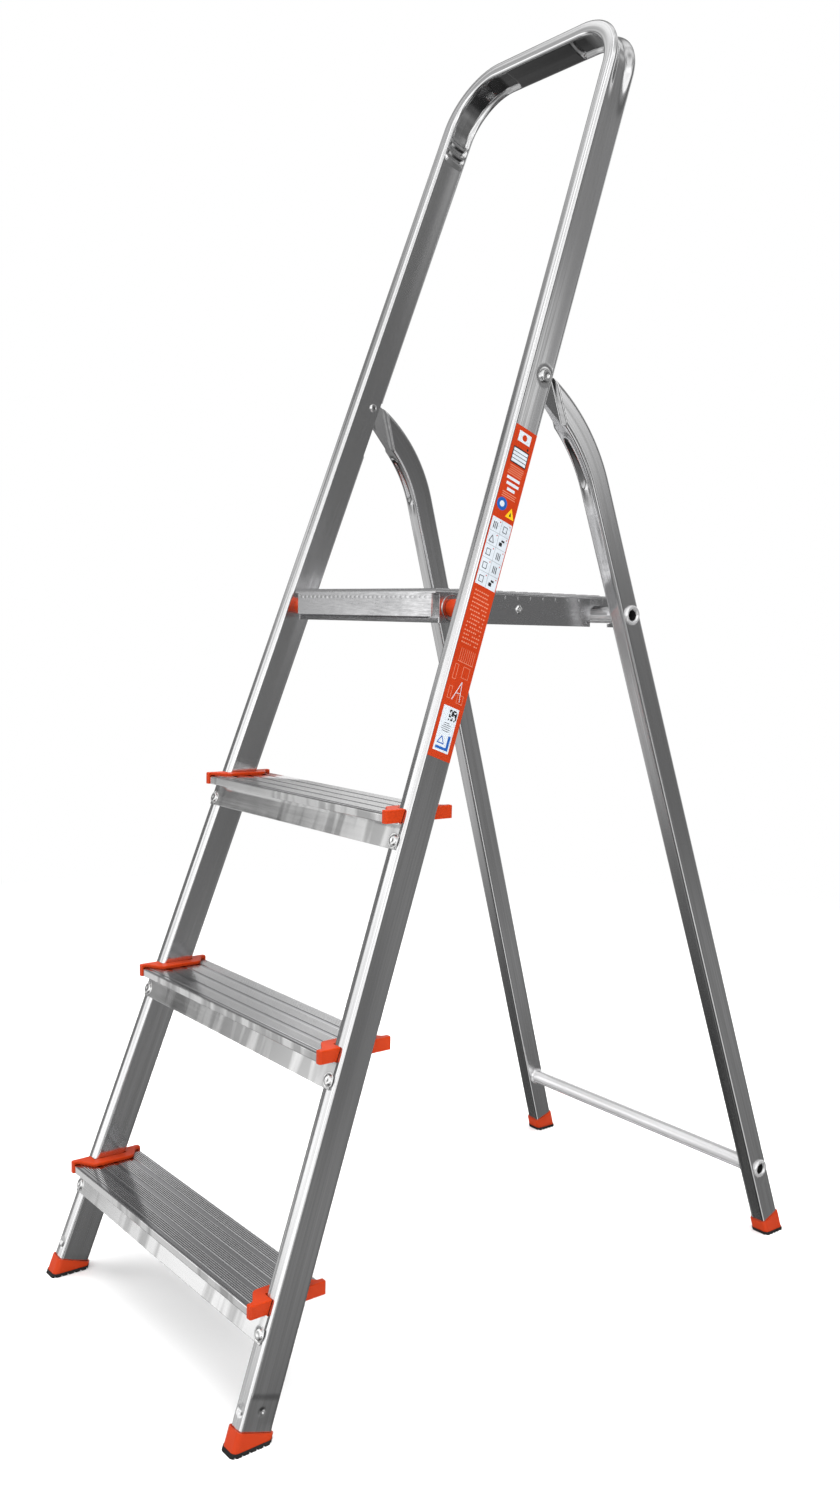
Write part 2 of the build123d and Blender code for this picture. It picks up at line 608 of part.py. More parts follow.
# ---- assembly ---------------------------------------------------------------
def build():
    nodes = {"front_frame_tube": front_frame_tube()}
    for number, height in enumerate(tread_heights(), start=1):
        nodes[f"tread_{number}"] = tread(height)
        nodes[f"tread_{number}_rivets"] = tread_rivets(height)
        cap = tread_cap(height)
        for side in SIDES:
            nodes[f"tread_{number}_cap_{side}"] = on_side(cap, side)
    leg = rear_leg()
    for side in SIDES:
        shoe, sole = shoe_parts(STILE_DEPTH, STILE_WIDTH, TUBE_CORNER, stile_section, side)
        nodes[f"front_shoe_{side}"] = shoe
        nodes[f"front_sole_{side}"] = sole
        shoe, sole = shoe_parts(LEG_DEPTH, LEG_WIDTH, LEG_CORNER, leg_section, side)
        nodes[f"rear_shoe_{side}"] = shoe
        nodes[f"rear_sole_{side}"] = sole
        nodes[f"rear_leg_{side}"] = on_side(leg, side)
        nodes[f"leg_hinge_rivet_{side}"] = on_side(hinge_rivet(), side)
        nodes[f"platform_bush_{side}"] = on_side(platform_bush(), side)
        nodes[f"platform_pivot_rivet_{side}"] = on_side(platform_rivet(), side)
    nodes["upper_cross_tube"] = brace(UPPER_BRACE_Z)
    nodes["lower_cross_tube"] = brace(LOWER_BRACE_Z)
    nodes["platform_pan"] = platform_pan()
    nodes["platform_stiffener"] = platform_stiffener()
    nodes["platform_rivets"] = platform_rivets()
    nodes["rating_label"] = rating_label()
    return nodes


os.makedirs("parts", exist_ok=True)
for name, shape in build().items():
    export_step(shape, f"parts/{name}.step")
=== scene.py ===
import json
from math import atan, atan2, ceil, copysign, cos, hypot, pi, radians, sin, tan
import random

import bmesh
import bpy
from mathutils import Matrix, Vector


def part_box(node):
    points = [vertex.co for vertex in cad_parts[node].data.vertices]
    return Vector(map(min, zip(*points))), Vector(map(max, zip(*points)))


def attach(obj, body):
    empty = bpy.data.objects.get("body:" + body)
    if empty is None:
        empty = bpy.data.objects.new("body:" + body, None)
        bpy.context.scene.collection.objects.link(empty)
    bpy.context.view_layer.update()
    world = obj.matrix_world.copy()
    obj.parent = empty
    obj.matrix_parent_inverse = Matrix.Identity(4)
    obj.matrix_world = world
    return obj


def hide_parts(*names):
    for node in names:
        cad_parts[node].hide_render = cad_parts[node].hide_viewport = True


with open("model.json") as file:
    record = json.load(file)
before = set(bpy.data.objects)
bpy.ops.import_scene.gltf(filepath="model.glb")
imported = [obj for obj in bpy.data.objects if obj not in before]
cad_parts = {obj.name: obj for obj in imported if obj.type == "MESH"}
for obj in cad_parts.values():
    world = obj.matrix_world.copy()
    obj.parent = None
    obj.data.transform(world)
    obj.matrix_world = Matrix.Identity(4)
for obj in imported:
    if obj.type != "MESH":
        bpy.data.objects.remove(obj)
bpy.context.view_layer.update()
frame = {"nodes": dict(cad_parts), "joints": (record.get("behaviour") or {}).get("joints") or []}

MM = 0.001
SIDES = {"left": -1.0, "right": 1.0}
nodes = frame["nodes"]
joints = {joint["name"]: joint for joint in frame["joints"]}


# PLACES WORKED OUT FROM THE FRAME
TREADS = ["tread_1", "tread_2", "tread_3"]
RIB_HEIGHT = 0.8 * MM
TREAD_OVERHANG = 22.5 * MM
TREAD_END_GAP = 3.0 * MM
tread_low = {name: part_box(name)[0] for name in TREADS}
tread_high = {name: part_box(name)[1] for name in TREADS}
first, last = TREADS[0], TREADS[-1]
rise = tread_high[last].z - tread_high[first].z
LEAN = atan2(tread_low[last].y - tread_low[first].y, rise)
SIN_A, COS_A, TAN_A = sin(LEAN), cos(LEAN), tan(LEAN)
FLARE = (tread_high[first].x - tread_high[last].x) / rise
FLARE_ANGLE = atan(FLARE * COS_A)
first_top = tread_high[first].z - RIB_HEIGHT
FOOT_X = tread_high[first].x + TREAD_END_GAP + FLARE * first_top
FOOT_Y = tread_low[first].y + TREAD_OVERHANG - first_top * TAN_A


# SMALL TOOLS
def smooth(low, high, value):
    """0 below low, 1 above high, with a smooth ramp between; low may be above high."""
    t = min(1.0, max(0.0, (value - low) / (high - low)))
    return t * t * (3 - 2 * t)


def hump(distance, reach):
    """1 at distance 0, falling smoothly to 0 at reach."""
    t = min(1.0, abs(distance) / reach)
    return (1 - t * t) ** 2


def ramp(value, points):
    """Straight-line interpolation in a list of (value, result) points."""
    if value <= points[0][0]:
        return points[0][1]
    for (x0, y0), (x1, y1) in zip(points, points[1:]):
        if value <= x1:
            return y0 + (y1 - y0) * (value - x0) / (x1 - x0)
    return points[-1][1]


def spread(start, end, count):
    """count + 1 evenly spaced values."""
    return [start + (end - start) * step / count for step in range(count + 1)]


def rounded_ring(half_a, half_b, radius, flat_a, flat_b, corner):
    """Points (a, b, normal a, normal b) round a rounded rectangle, starting on the +a side."""
    a, b = half_a - radius, half_b - radius
    sides = [
        ((half_a, -b), (half_a, b), (1, 0), flat_b), ((a, half_b), (-a, half_b), (0, 1), flat_a),
        ((-half_a, b), (-half_a, -b), (-1, 0), flat_b), ((-a, -half_b), (a, -half_b), (0, -1), flat_a),
    ]
    ring = []
    for (a0, b0), (a1, b1), (na, nb), count in sides:
        for t in spread(0, 1, count)[:-1]:
            ring.append((a0 + (a1 - a0) * t, b0 + (b1 - b0) * t, na, nb))
        for t in spread(0, pi / 2, corner)[:-1]:
            ca = na * cos(t) - nb * sin(t)
            cb = na * sin(t) + nb * cos(t)
            ring.append((a1 + (ca - na) * radius, b1 + (cb - nb) * radius, ca, cb))
    return ring


def new_piece(name, vertices, faces, material, body, flow=None, sharp=40.0):
    """A mesh object that rides on a body, with edges sharper than the given angle kept crisp."""
    mesh = bpy.data.meshes.new(name)
    mesh.from_pydata([tuple(v) for v in vertices], [], faces)
    if flow:
        layer = mesh.attributes.new("flow", "FLOAT_VECTOR", "POINT")
        for item, value in zip(layer.data, flow):
            item.vector = value
    finish_mesh(mesh, sharp)
    piece = bpy.data.objects.new(name, mesh)
    bpy.context.scene.collection.objects.link(piece)
    mesh.materials.append(material)
    if body:
        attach(piece, body)
    return piece


def finish_mesh(mesh, sharp):
    """Consistent outward faces, smooth shading, and crisp edges where faces meet at a corner."""
    work = bmesh.new()
    work.from_mesh(mesh)
    bmesh.ops.recalc_face_normals(work, faces=work.faces)
    for face in work.faces:
        face.smooth = True
    limit = radians(sharp)
    for edge in work.edges:
        edge.smooth = len(edge.link_faces) == 2 and edge.calc_face_angle(0) < limit
    work.to_mesh(mesh)
    work.free()


def ring_faces(rings, count, offset=0, flip=False, skip=()):
    """Quads between neighbouring rings; skip holds (first ring, last ring, first point, last point)."""
    faces = []
    for j in range(rings - 1):
        for i in range(count):
            if any(j0 <= j < j1 and i0 <= i < i1 for j0, j1, i0, i1 in skip):
                continue
            k = (i + 1) % count
            quad = [offset + j * count + i, offset + j * count + k]
            quad += [offset + (j + 1) * count + k, offset + (j + 1) * count + i]
            faces.append(quad[::-1] if flip else quad)
    return faces


def end_faces(rings, count):
    """One face over each end of a run of rings."""
    return [[start + i for i in range(count)] for start in (0, (rings - 1) * count)]


def merged(shapes):
    """Several (points, faces) shapes as one."""
    vertices, faces = [], []
    for more, extra in shapes:
        faces += [[len(vertices) + i for i in face] for face in extra]
        vertices += more
    return vertices, faces


def gather(name, shapes, material, body, sharp=40.0):
    """Several closed shapes as one piece."""
    piece = new_piece(name, *merged(shapes), material, body, sharp=sharp)


def carve(piece, cutters, sharp):
    """Cuts closed meshes out of a piece for good, and removes them."""
    for cutter in cutters:
        modifier = piece.modifiers.new("cut", "BOOLEAN")
        modifier.operation = "DIFFERENCE"
        modifier.solver = "EXACT"
        modifier.object = cutter
    graph = bpy.context.evaluated_depsgraph_get()
    mesh = bpy.data.meshes.new_from_object(piece.evaluated_get(graph))
    piece.modifiers.clear()
    piece.data = mesh
    finish_mesh(mesh, sharp)
    for cutter in cutters:
        bpy.data.objects.remove(cutter)


def in_metres(profile, shift=0.0):
    """A profile given in millimetres, moved along its axis by a shift in metres."""
    return [(shift + along * MM, radius * MM) for along, radius in profile]


def turned(profile, centre, axis, lobes, steps=48):
    """Points and faces of a turned shape: profile is (distance along the axis, radius)."""
    turn = Vector(axis).to_track_quat("Z", "Y").to_matrix()
    vertices = []
    for along, radius in profile:
        for step in range(steps):
            angle = 2 * pi * step / steps
            wide = radius * (1 + lobes * cos(4 * angle))
            local = Vector((wide * cos(angle), wide * sin(angle), along))
            vertices.append(Vector(centre) + turn @ local)
    return vertices, ring_faces(len(profile), steps) + end_faces(len(profile), steps)


def lathe(name, profile, places, material, body, lobes=0.0):
    """One mesh with the same turned shape at each (centre, axis)."""
    vertices, faces = merged([turned(profile, centre, axis, lobes) for centre, axis in places])
    return new_piece(name, vertices, faces, material, body, sharp=38.0)


# MATERIALS
METAL_RELIEF = 0.01 * MM
FINE_SHARE = 0.55  # of the fine draw lines against the broad ones


def principled(name, base, roughness, metallic=0.0):
    """A new material and its shader node."""
    material = bpy.data.materials.new(name)
    material.use_nodes = True
    shader = material.node_tree.nodes["Principled BSDF"]
    shader.inputs["Base Color"].default_value = (*base, 1.0)
    shader.inputs["Roughness"].default_value = roughness
    shader.inputs["Metallic"].default_value = metallic
    return material, shader


def add_node(tree, kind, **settings):
    """A new node. A setting is the value of an input, or else of one of the node's properties."""
    node = tree.nodes.new(kind)
    for key, value in settings.items():
        if key in node.inputs:
            node.inputs[key].default_value = value
        else:
            setattr(node, key, value)
    return node


def wire(source, target):
    """Links two sockets of one node tree."""
    source.id_data.links.new(source, target)


def math_node(operation, first, *others):
    """The result of a math node on a socket, and then on sockets and plain numbers."""
    node = add_node(first.id_data, "ShaderNodeMath", operation=operation)
    for value, socket in zip((first, *others), node.inputs):
        if isinstance(value, float):
            socket.default_value = value
        else:
            wire(value, socket)
    return node.outputs[0]


def noise_at(vector, scale, detail, roughness=0.55):
    """A noise texture of the given vector, stretched by a scale on each axis."""
    tree = vector.id_data
    mapping = add_node(tree, "ShaderNodeMapping", Scale=scale)
    noise = add_node(tree, "ShaderNodeTexNoise", Scale=1.0, Detail=detail, Roughness=roughness)
    wire(vector, mapping.inputs["Vector"])
    wire(mapping.outputs[0], noise.inputs["Vector"])
    return noise.outputs["Fac"]


def between(factor, low, high, source=(0.3, 0.7)):
    """Maps the source range of a factor to the range from low to high."""
    ends = {"From Min": source[0], "From Max": source[1], "To Min": low, "To Max": high}
    node = add_node(factor.id_data, "ShaderNodeMapRange", **ends)
    wire(factor, node.inputs["Value"])
    return node.outputs[0]


def colour_between(factor, low, high):
    """A colour from low to high, by a factor."""
    ends = {"A": (*low, 1), "B": (*high, 1)}
    node = add_node(factor.id_data, "ShaderNodeMix", data_type="RGBA", **ends)
    wire(factor, node.inputs["Factor"])
    return node.outputs["Result"]


def object_vector(tree):
    """Object coordinates, in metres."""
    return add_node(tree, "ShaderNodeTexCoord").outputs["Object"]


def flow_vector(tree):
    """The piece's own coordinates: distance round the tube, distance along it, and polish."""
    return add_node(tree, "ShaderNodeAttribute", attribute_name="flow").outputs["Vector"]


def split_xyz(vector):
    """The outputs X, Y and Z of a vector."""
    split = add_node(vector.id_data, "ShaderNodeSeparateXYZ")
    wire(vector, split.inputs[0])
    return split.outputs


def polished_bends(roughness):
    """Lowers the roughness by the flow's polish, which rises where the tube was bent."""
    polish = split_xyz(flow_vector(roughness.id_data))["Z"]
    return math_node("MULTIPLY", roughness, between(polish, 1.0, 0.7, (0.0, 1.0)))


def dress(shader, colour, roughness, height, strength, distance):
    """Gives a shader its colour and roughness, and bumps it by a height."""
    relief = add_node(height.id_data, "ShaderNodeBump", Strength=strength, Distance=distance)
    wire(colour, shader.inputs["Base Color"])
    wire(roughness, shader.inputs["Roughness"])
    wire(height, relief.inputs["Height"])
    wire(relief.outputs[0], shader.inputs["Normal"])


def drawn_metal(name, dark, light, rough, vector, lines, along, metallic=1.0):
    """Metal with fine draw lines. lines and along are the noise scales of the fine and broad ones."""
    material, shader = principled(name, light, 0.3, metallic)
    source = vector(material.node_tree)
    fine = noise_at(source, lines, 4.0, 0.65)
    broad = noise_at(source, along, 3.0, 0.5)
    rest = math_node("MULTIPLY", broad, 1 - FINE_SHARE)
    mixed = math_node("MULTIPLY_ADD", fine, FINE_SHARE, rest)
    shade = between(mixed, 0.0, 1.0, (0.32, 0.68))
    roughness = between(mixed, rough[1], rough[0], (0.35, 0.65))
    if vector is flow_vector:
        roughness = polished_bends(roughness)
    dress(shader, colour_between(shade, dark, light), roughness, fine, 0.35, METAL_RELIEF)
    return material


def moulded_plastic(name, dark, light, roughness, grain=900.0, bump=0.02 * MM):
    """Plastic with a faint grain and a slow change of colour."""
    material, shader = principled(name, light, roughness)
    shader.inputs["Specular IOR Level"].default_value = 0.2
    source = object_vector(material.node_tree)
    slow = between(noise_at(source, (22, 22, 22), 2.0), 0, 1)
    fine = noise_at(source, (grain, grain, grain), 2.0)
    dullness = between(fine, roughness - 0.05, roughness + 0.08)
    dress(shader, colour_between(slow, dark, light), dullness, fine, 0.3, bump)
    return material


def tread_colour(height, marks, top):
    """Bright rib tops, valleys between them painted darker as shade, and a bright apron with cross marks."""
    rib_tops_unshaded = between(height, 0.0, 1.0, (top - 0.75 * RIB_HEIGHT, top - 0.1 * RIB_HEIGHT))
    rim = (top - 2.2 * RIB_HEIGHT, top - 1.6 * RIB_HEIGHT)
    bright = math_node("MAXIMUM", rib_tops_unshaded, between(height, 1.0, 0.0, rim))
    # the darker valley colour is painted shade between the ribs
    shade = colour_between(bright, (0.44, 0.44, 0.45), (0.97, 0.97, 0.97))
    on_top = between(height, 0.0, 1.0, rim)
    unmarked = math_node("MAXIMUM", between(marks, 0.0, 1.0, (0.40, 0.52)), on_top)
    mixed = add_node(height.id_data, "ShaderNodeMix", data_type="RGBA", blend_type="MULTIPLY")
    mixed.inputs["Factor"].default_value = 1.0
    wire(shade, mixed.inputs["A"])
    marked = colour_between(unmarked, (0.60, 0.60, 0.60), (1, 1, 1))
    wire(marked, mixed.inputs["B"])
    return mixed.outputs["Result"]


def tread_finish(name, top):
    """Extruded metal with lengthwise lines and painted shade in its rib valleys, for a tread whose ribs end
    at the height top.
    """
    material, shader = principled(name, (0.8, 0.8, 0.8), 0.25, 1.0)
    source = object_vector(material.node_tree)
    lines = noise_at(source, (5, 800, 800), 3.0, 0.6)
    marks = noise_at(source, (34, 2, 4), 2.0, 0.6)
    blotch = noise_at(source, (9, 14, 14), 3.0, 0.6)
    colour = tread_colour(split_xyz(source)["Z"], marks, top)
    patches = between(blotch, 0.01, 0.10, (0.35, 0.65))
    roughness = math_node("ADD", between(lines, 0.08, 0.15), patches)
    dress(shader, colour, roughness, lines, 0.25, 0.02 * MM)
    return material


SHEET_GRAIN = (object_vector, (60, 60, 420), (14, 30, 60))
tube_metal = drawn_metal(
    "tube_metal", (0.66, 0.66, 0.66), (0.86, 0.86, 0.87), (0.13, 0.24),
    flow_vector, (420, 1.2, 1), (140, 4, 1),
)
leg_metal = drawn_metal(
    "leg_metal", (0.62, 0.62, 0.62), (0.82, 0.82, 0.83), (0.13, 0.24),
    flow_vector, (420, 1.5, 1), (140, 5, 1),
)
sheet_metal = drawn_metal(
    "sheet_metal", (0.56, 0.56, 0.57), (0.78, 0.78, 0.79), (0.16, 0.30), *SHEET_GRAIN
)
# a dark finish for the hems: painted shade where shadow falls under the flanges
hem_metal_painted_shade = drawn_metal(
    "hem_metal_painted_shade", (0.16, 0.16, 0.17), (0.28, 0.28, 0.29), (0.20, 0.34), *SHEET_GRAIN
)
rod_metal = drawn_metal(
    "rod_metal", (0.62, 0.62, 0.62), (0.84, 0.84, 0.85), (0.10, 0.20),
    object_vector, (6, 700, 700), (9, 200, 200), 0.72,
)
rivet_metal = drawn_metal(
    "rivet_metal", (0.70, 0.70, 0.70), (0.90, 0.90, 0.90), (0.10, 0.20),
    object_vector, (500, 500, 500), (150, 150, 150),
)
orange_plastic = moulded_plastic("orange_plastic", (0.37, 0.026, 0.001), (0.43, 0.033, 0.002), 0.36)
sole_rubber = moulded_plastic(
    "sole_rubber", (0.010, 0.010, 0.010), (0.022, 0.021, 0.020), 0.75, 500.0, 0.06 * MM
)
# a near-black finish that is painted shade inside the hollows of rivets and tubes
bore_painted_shade = moulded_plastic(
    "bore_painted_shade", (0.008, 0.008, 0.008), (0.020, 0.020, 0.021), 0.60, 400.0, 0.01 * MM
)


# FRONT FRAME TUBE
HALF_DEPTH, HALF_WIDTH = 20 * MM, 10 * MM
TUBE_CORNER, TUBE_WALL = 4 * MM, 1.5 * MM
BEND_RADIUS = 70 * MM
FOOT_LIFT = 7.6 * MM  # tube ends above the floor, inside the shoes
FACE_HALF, EDGE_HALF = 16 * MM, 6 * MM  # flat parts of the wide and narrow faces
FACE_CROWN, EDGE_CROWN = 0.25 * MM, 0.45 * MM
SKIN = 0.4 * MM  # points this near a face belong to it
GROOVE_DEPTH = 6.6 * MM  # pressed into the outer wall round the bends
SLOT_HALF, SLOT_INWARDS = 5.5 * MM, 3.7 * MM
SLOT_BELOW, SLOT_ABOVE = 63 * MM, 14 * MM
hinge_place = Vector(joints["rear_fold"]["pos_m"])
platform_pin = Vector(joints["platform_fold"]["pos_m"])


def frame_point(x, up, depth):
    """A point from the frame's own plane: x, distance up the slope, and depth behind its front."""
    return Vector((x, FOOT_Y + up * SIN_A + depth * COS_A, up * COS_A - depth * SIN_A))


def slope_of(point):
    """(up, depth) of a point in the frame's own plane."""
    y, z = point.y - FOOT_Y, point.z
    return y * SIN_A + z * COS_A, y * COS_A - z * SIN_A


tube_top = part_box("front_frame_tube")[1].z
HOOP_LENGTH = (tube_top - TUBE_CORNER * (1 - SIN_A)) / COS_A + TUBE_CORNER
MIDDLE_FOOT_X = FOOT_X - HALF_WIDTH / cos(FLARE_ANGLE)
BAR_UP = HOOP_LENGTH - HALF_WIDTH
BEND_TURN = pi / 2 - FLARE_ANGLE
TANGENT = BEND_RADIUS * tan(BEND_TURN / 2)
BEND_LENGTH = BEND_RADIUS * BEND_TURN
BEND_START = BAR_UP / cos(FLARE_ANGLE) - TANGENT
CORNER_X = MIDDLE_FOOT_X - BAR_UP * tan(FLARE_ANGLE)
BAR_HALF = CORNER_X - TANGENT
BEND_END = BEND_START + BEND_LENGTH
HALF_PATH = BEND_END + BAR_HALF
HINGE_UP, HINGE_DEPTH = slope_of(hinge_place)
HINGE_S = HINGE_UP / cos(FLARE_ANGLE)
SLOT_LOW, SLOT_HIGH = HINGE_S - SLOT_BELOW, HINGE_S + SLOT_ABOVE
FOOT_S = FOOT_LIFT / COS_A


def hoop_station(s):
    """(x, up, outward x, outward up) of the hoop's centreline, s along it from the right foot."""
    if s <= BEND_START:
        out_x, out_up = cos(FLARE_ANGLE), sin(FLARE_ANGLE)
        return MIDDLE_FOOT_X - s * out_up, s * out_x, out_x, out_up
    if s > BEND_END:
        return BAR_HALF - (s - BEND_START - BEND_LENGTH), BAR_UP, 0.0, 1.0
    angle = FLARE_ANGLE + (s - BEND_START) / BEND_RADIUS
    out_x, out_up = cos(angle), sin(angle)
    up = BAR_UP - BEND_RADIUS + BEND_RADIUS * out_up
    return BAR_HALF + BEND_RADIUS * out_x, up, out_x, out_up


# the pocket in the inner wall: (distance from the bend's start, depth), in millimetres
POCKET_START = [
    (-45, 0.0), (-42, -1.0), (-39.5, -1.6), (-37.5, -1.3), (-34.5, 2.6), (-32.5, 3.4), (-29, 0.6),
    (-26.5, 0.4), (-22.5, 3.8), (-20, 4.2), (-16.5, 1.4), (-14, 1.5), (-10, 4.0), (-7, 4.6),
]
POCKET_PAST_BEND = 21
pocket_stop = BEND_LENGTH / MM + POCKET_PAST_BEND
POCKET_END = [(pocket_stop - 3.0, 4.6), (pocket_stop - 0.6, 0.3), (pocket_stop, 0.0)]


def pressed_depth(t):
    """How far the inner wall is pressed in, t along the path from the bend's start."""
    t /= MM
    return ramp(t, POCKET_START if t < POCKET_START[-1][0] else POCKET_END) * MM


def crown(across, half, height):
    """How far a slightly crowned face falls away from its middle."""
    return height * smooth(0.0, half, abs(across))


def press_outer(s, a, b):
    """The outer wall's a: sunk along the middle round the bends, and dented at the rivets and foot."""
    t = s - BEND_START
    groove = GROOVE_DEPTH * smooth(-82 * MM, 22 * MM, t)
    groove *= smooth(BEND_LENGTH + 50 * MM, BEND_LENGTH - 16 * MM, t)
    a -= groove * smooth(16.6 * MM, 4.0 * MM, abs(b))
    up, depth = s * cos(FLARE_ANGLE), b + HALF_DEPTH
    a -= 1.3 * MM * hump(hypot(up - HINGE_UP, depth - HINGE_DEPTH), 15 * MM)
    a -= 1.4 * MM * hump(hypot(up - 44 * MM, depth - 20 * MM), 4.5 * MM)
    return a - 0.5 * MM * smooth(62 * MM, 55 * MM, s)


def press_hoop(s, a, b):
    """Moves a section point to where the crowned, pressed and dented tube has it."""
    t = s - BEND_START
    sink_a, sink_b = crown(b, FACE_HALF, FACE_CROWN), crown(a, EDGE_HALF, EDGE_CROWN)
    sink_a, sink_b = sink_a * (abs(a) > EDGE_HALF), sink_b * (abs(b) > FACE_HALF)
    a, b = a - copysign(sink_a, a), b - copysign(sink_b, b)
    if a > HALF_WIDTH - SKIN:
        a = press_outer(s, a, b)
    if a < -HALF_WIDTH + SKIN:
        bow = 4.0 * MM * (b / HALF_DEPTH) ** 2 * (1 if t > 0 else -1)
        a += pressed_depth(t + bow) * smooth(16.3 * MM, 11.2 * MM, abs(b))
    if b < -HALF_DEPTH + 0.7 * MM:
        b += 1.6 * MM * hump(hypot(s - 42 * MM, a), 7 * MM)
    return a, b


def hoop_marks():
    """Distances along the right half of the hoop that get a ring of points."""
    marks = [FOOT_S, 30 * MM, SLOT_LOW, SLOT_LOW + 20 * MM, SLOT_HIGH]
    marks += [top.z / COS_A for top in tread_high.values()]
    marks += spread(34 * MM, 66 * MM, 22)
    marks += spread(BEND_START - 6 * MM, BEND_END + 14 * MM, 81)
    marks += spread(BEND_END + 26 * MM, HALF_PATH, 14)
    for middle, start, end, count in (
        (HINGE_S, -18, 18, 24), (BEND_START, -80, -48, 10), (BEND_START, -47, -8, 52), (BEND_END, 15, 24, 14),
    ):
        marks += spread(middle + start * MM, middle + end * MM, count)
    return sorted(set(marks))


def hoop_skins(path, ring):
    """Points and flow of the outer skin, and then of the inner one."""
    around = [0.0]
    for p, q in zip(ring, ring[1:]):
        around.append(around[-1] + hypot(q[0] - p[0], q[1] - p[1]))
    vertices, flow = [], []
    for wall in (0.0, TUBE_WALL):
        for side, s in path:
            x, up, out_x, out_up = hoop_station(s)
            polish = smooth(BEND_START - 60 * MM, BEND_START, s)
            for (a, b, na, nb), way in zip(ring, around):
                a, b = press_hoop(s, a, b)
                a, b = a - na * wall, b - nb * wall
                lift = up + a * out_up
                if s == FOOT_S:
                    lift = (FOOT_LIFT + (b + HALF_DEPTH) * SIN_A) / COS_A
                vertices.append(frame_point(side * (x + a * out_x), lift, b + HALF_DEPTH))
                flow.append((way, side * s, polish))
    return vertices, flow


def wall_face(p, q, inner):
    """A face across the wall, from points p and q of the outer skin to the inner skin."""
    return [p, q, inner + q, inner + p]


def wall_faces(slots, count, inner, last_ring):
    """The tube's cut ends and the edges of its slots."""
    faces = []
    for start in (0, last_ring * count):
        faces += [wall_face(start + i, start + (i + 1) % count, inner) for i in range(count)]
    for j0, j1, i0, i1 in slots:
        for i in range(i0, i1):
            faces += [wall_face(j * count + i, j * count + i + 1, inner) for j in (j0, j1)]
        for j in range(j0, j1):
            faces += [wall_face(j * count + i, (j + 1) * count + i, inner) for i in (i0, i1)]
    return faces


def hoop_tube():
    """The bent tube, as an outer and an inner skin with a slot at each leg."""
    flat_b, flat_a, corner = 26, 12, 6
    ring = rounded_ring(HALF_WIDTH, HALF_DEPTH, TUBE_CORNER, flat_a, flat_b, corner)
    marks = hoop_marks()
    path = [(1, s) for s in marks] + [(-1, s) for s in reversed(marks[:-1])]
    vertices, flow = hoop_skins(path, ring)
    rear = flat_b + corner
    half_flat = HALF_WIDTH - TUBE_CORNER
    edge = half_flat - (SLOT_HALF - SLOT_INWARDS)
    first = rear + round(edge / (2 * half_flat) * flat_a)
    last = rear + flat_a + corner - 1
    j0, j1 = marks.index(SLOT_LOW), marks.index(SLOT_HIGH)
    back = len(path) - 1
    slots = [(j0, j1, first, last), (back - j1, back - j0, first, last)]
    count = len(ring)
    inner = len(path) * count
    faces = ring_faces(len(path), count, 0, False, slots)
    faces += ring_faces(len(path), count, inner, True, slots)
    faces += wall_faces(slots, count, inner, back)
    piece = new_piece("front_frame_hoop", vertices, faces, tube_metal, "front_frame", flow, 75.0)
    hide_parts("front_frame_tube")


hoop_tube()


# REAR LEGS
LEG_HALF_DEPTH, LEG_HALF_WIDTH, LEG_CORNER = 15 * MM, 11 * MM, 3.5 * MM
COLLAR = 3.2 * MM
LEG_FRONT_TOP = (radians(47), -14 * MM, 175 * MM)  # lean, distance from the pin, bend radius
LEG_REAR_TOP = (radians(58), 10 * MM, 205 * MM)
# the flattened end: (distance behind the pin, half width), in millimetres
FLATTENED = [(0, 2.4), (15.9, 5.0), (19.0, 10.9), (20.7, 11.0)]
BORE_RADIUS = 9.9 * MM
LEG_SHARP = 70.0
braces = {name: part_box(name) for name in ("upper_cross_tube", "lower_cross_tube")}
brace_centre = {name: (low + high) / 2 for name, (low, high) in braces.items()}
upper, lower = brace_centre["upper_cross_tube"], brace_centre["lower_cross_tube"]
TAN_B = (lower.y - upper.y) / (upper.z - lower.z)
LEG_LEAN = atan(TAN_B)
brace_end = {name: high.x - COLLAR - LEG_HALF_WIDTH for name, (low, high) in braces.items()}
LEG_FLARE = (brace_end["lower_cross_tube"] - brace_end["upper_cross_tube"]) / (upper.z - lower.z)
SPLAY = atan(LEG_FLARE)
leg_foot_x = brace_end["lower_cross_tube"] + LEG_FLARE * lower.z
FOLD_ANGLE = radians(joints["rear_fold"]["range_deg"][1])


def leg_point(y, up, out):
    """A point of the right leg: y, distance up the leg's own plane, and out from its middle."""
    x = leg_foot_x + out * cos(SPLAY) - up * sin(SPLAY)
    return Vector((x, y, up * cos(SPLAY) + out * sin(SPLAY)))


def crossing(p, lean_p, q, lean_q):
    """Where two side-view lines meet; a lean is the angle from vertical, rearwards going down."""
    a = Vector((sin(lean_p), -cos(lean_p)))
    b = Vector((sin(lean_q), -cos(lean_q)))
    d = Vector(q) - Vector(p)
    along = (d.x * b.y - d.y * b.x) / (a.x * b.y - a.y * b.x)
    return Vector(p) + a * along


def edge_line(foot, foot_lean, end, end_lean, radius, counts):
    """Points from the foot up, round a bend, to the end, in the side view."""
    corner = crossing(foot, foot_lean, end, end_lean)
    turn = end_lean - foot_lean
    reach = radius * tan(turn / 2)
    up_dir = Vector((-sin(foot_lean), cos(foot_lean)))
    side = Vector((-cos(foot_lean), -sin(foot_lean)))
    bend_start = corner - up_dir * reach
    centre = bend_start + side * radius
    line = [Vector(foot).lerp(bend_start, t) for t in spread(0, 1, counts[0])[:-1]]
    for t in spread(0, turn, counts[1]):
        lean = foot_lean + t
        line.append(centre - Vector((-cos(lean), -sin(lean))) * radius)
    bend_end = line[-1]
    line += [bend_end.lerp(Vector(end), t) for t in spread(0, 1, counts[2])[1:]]
    return line


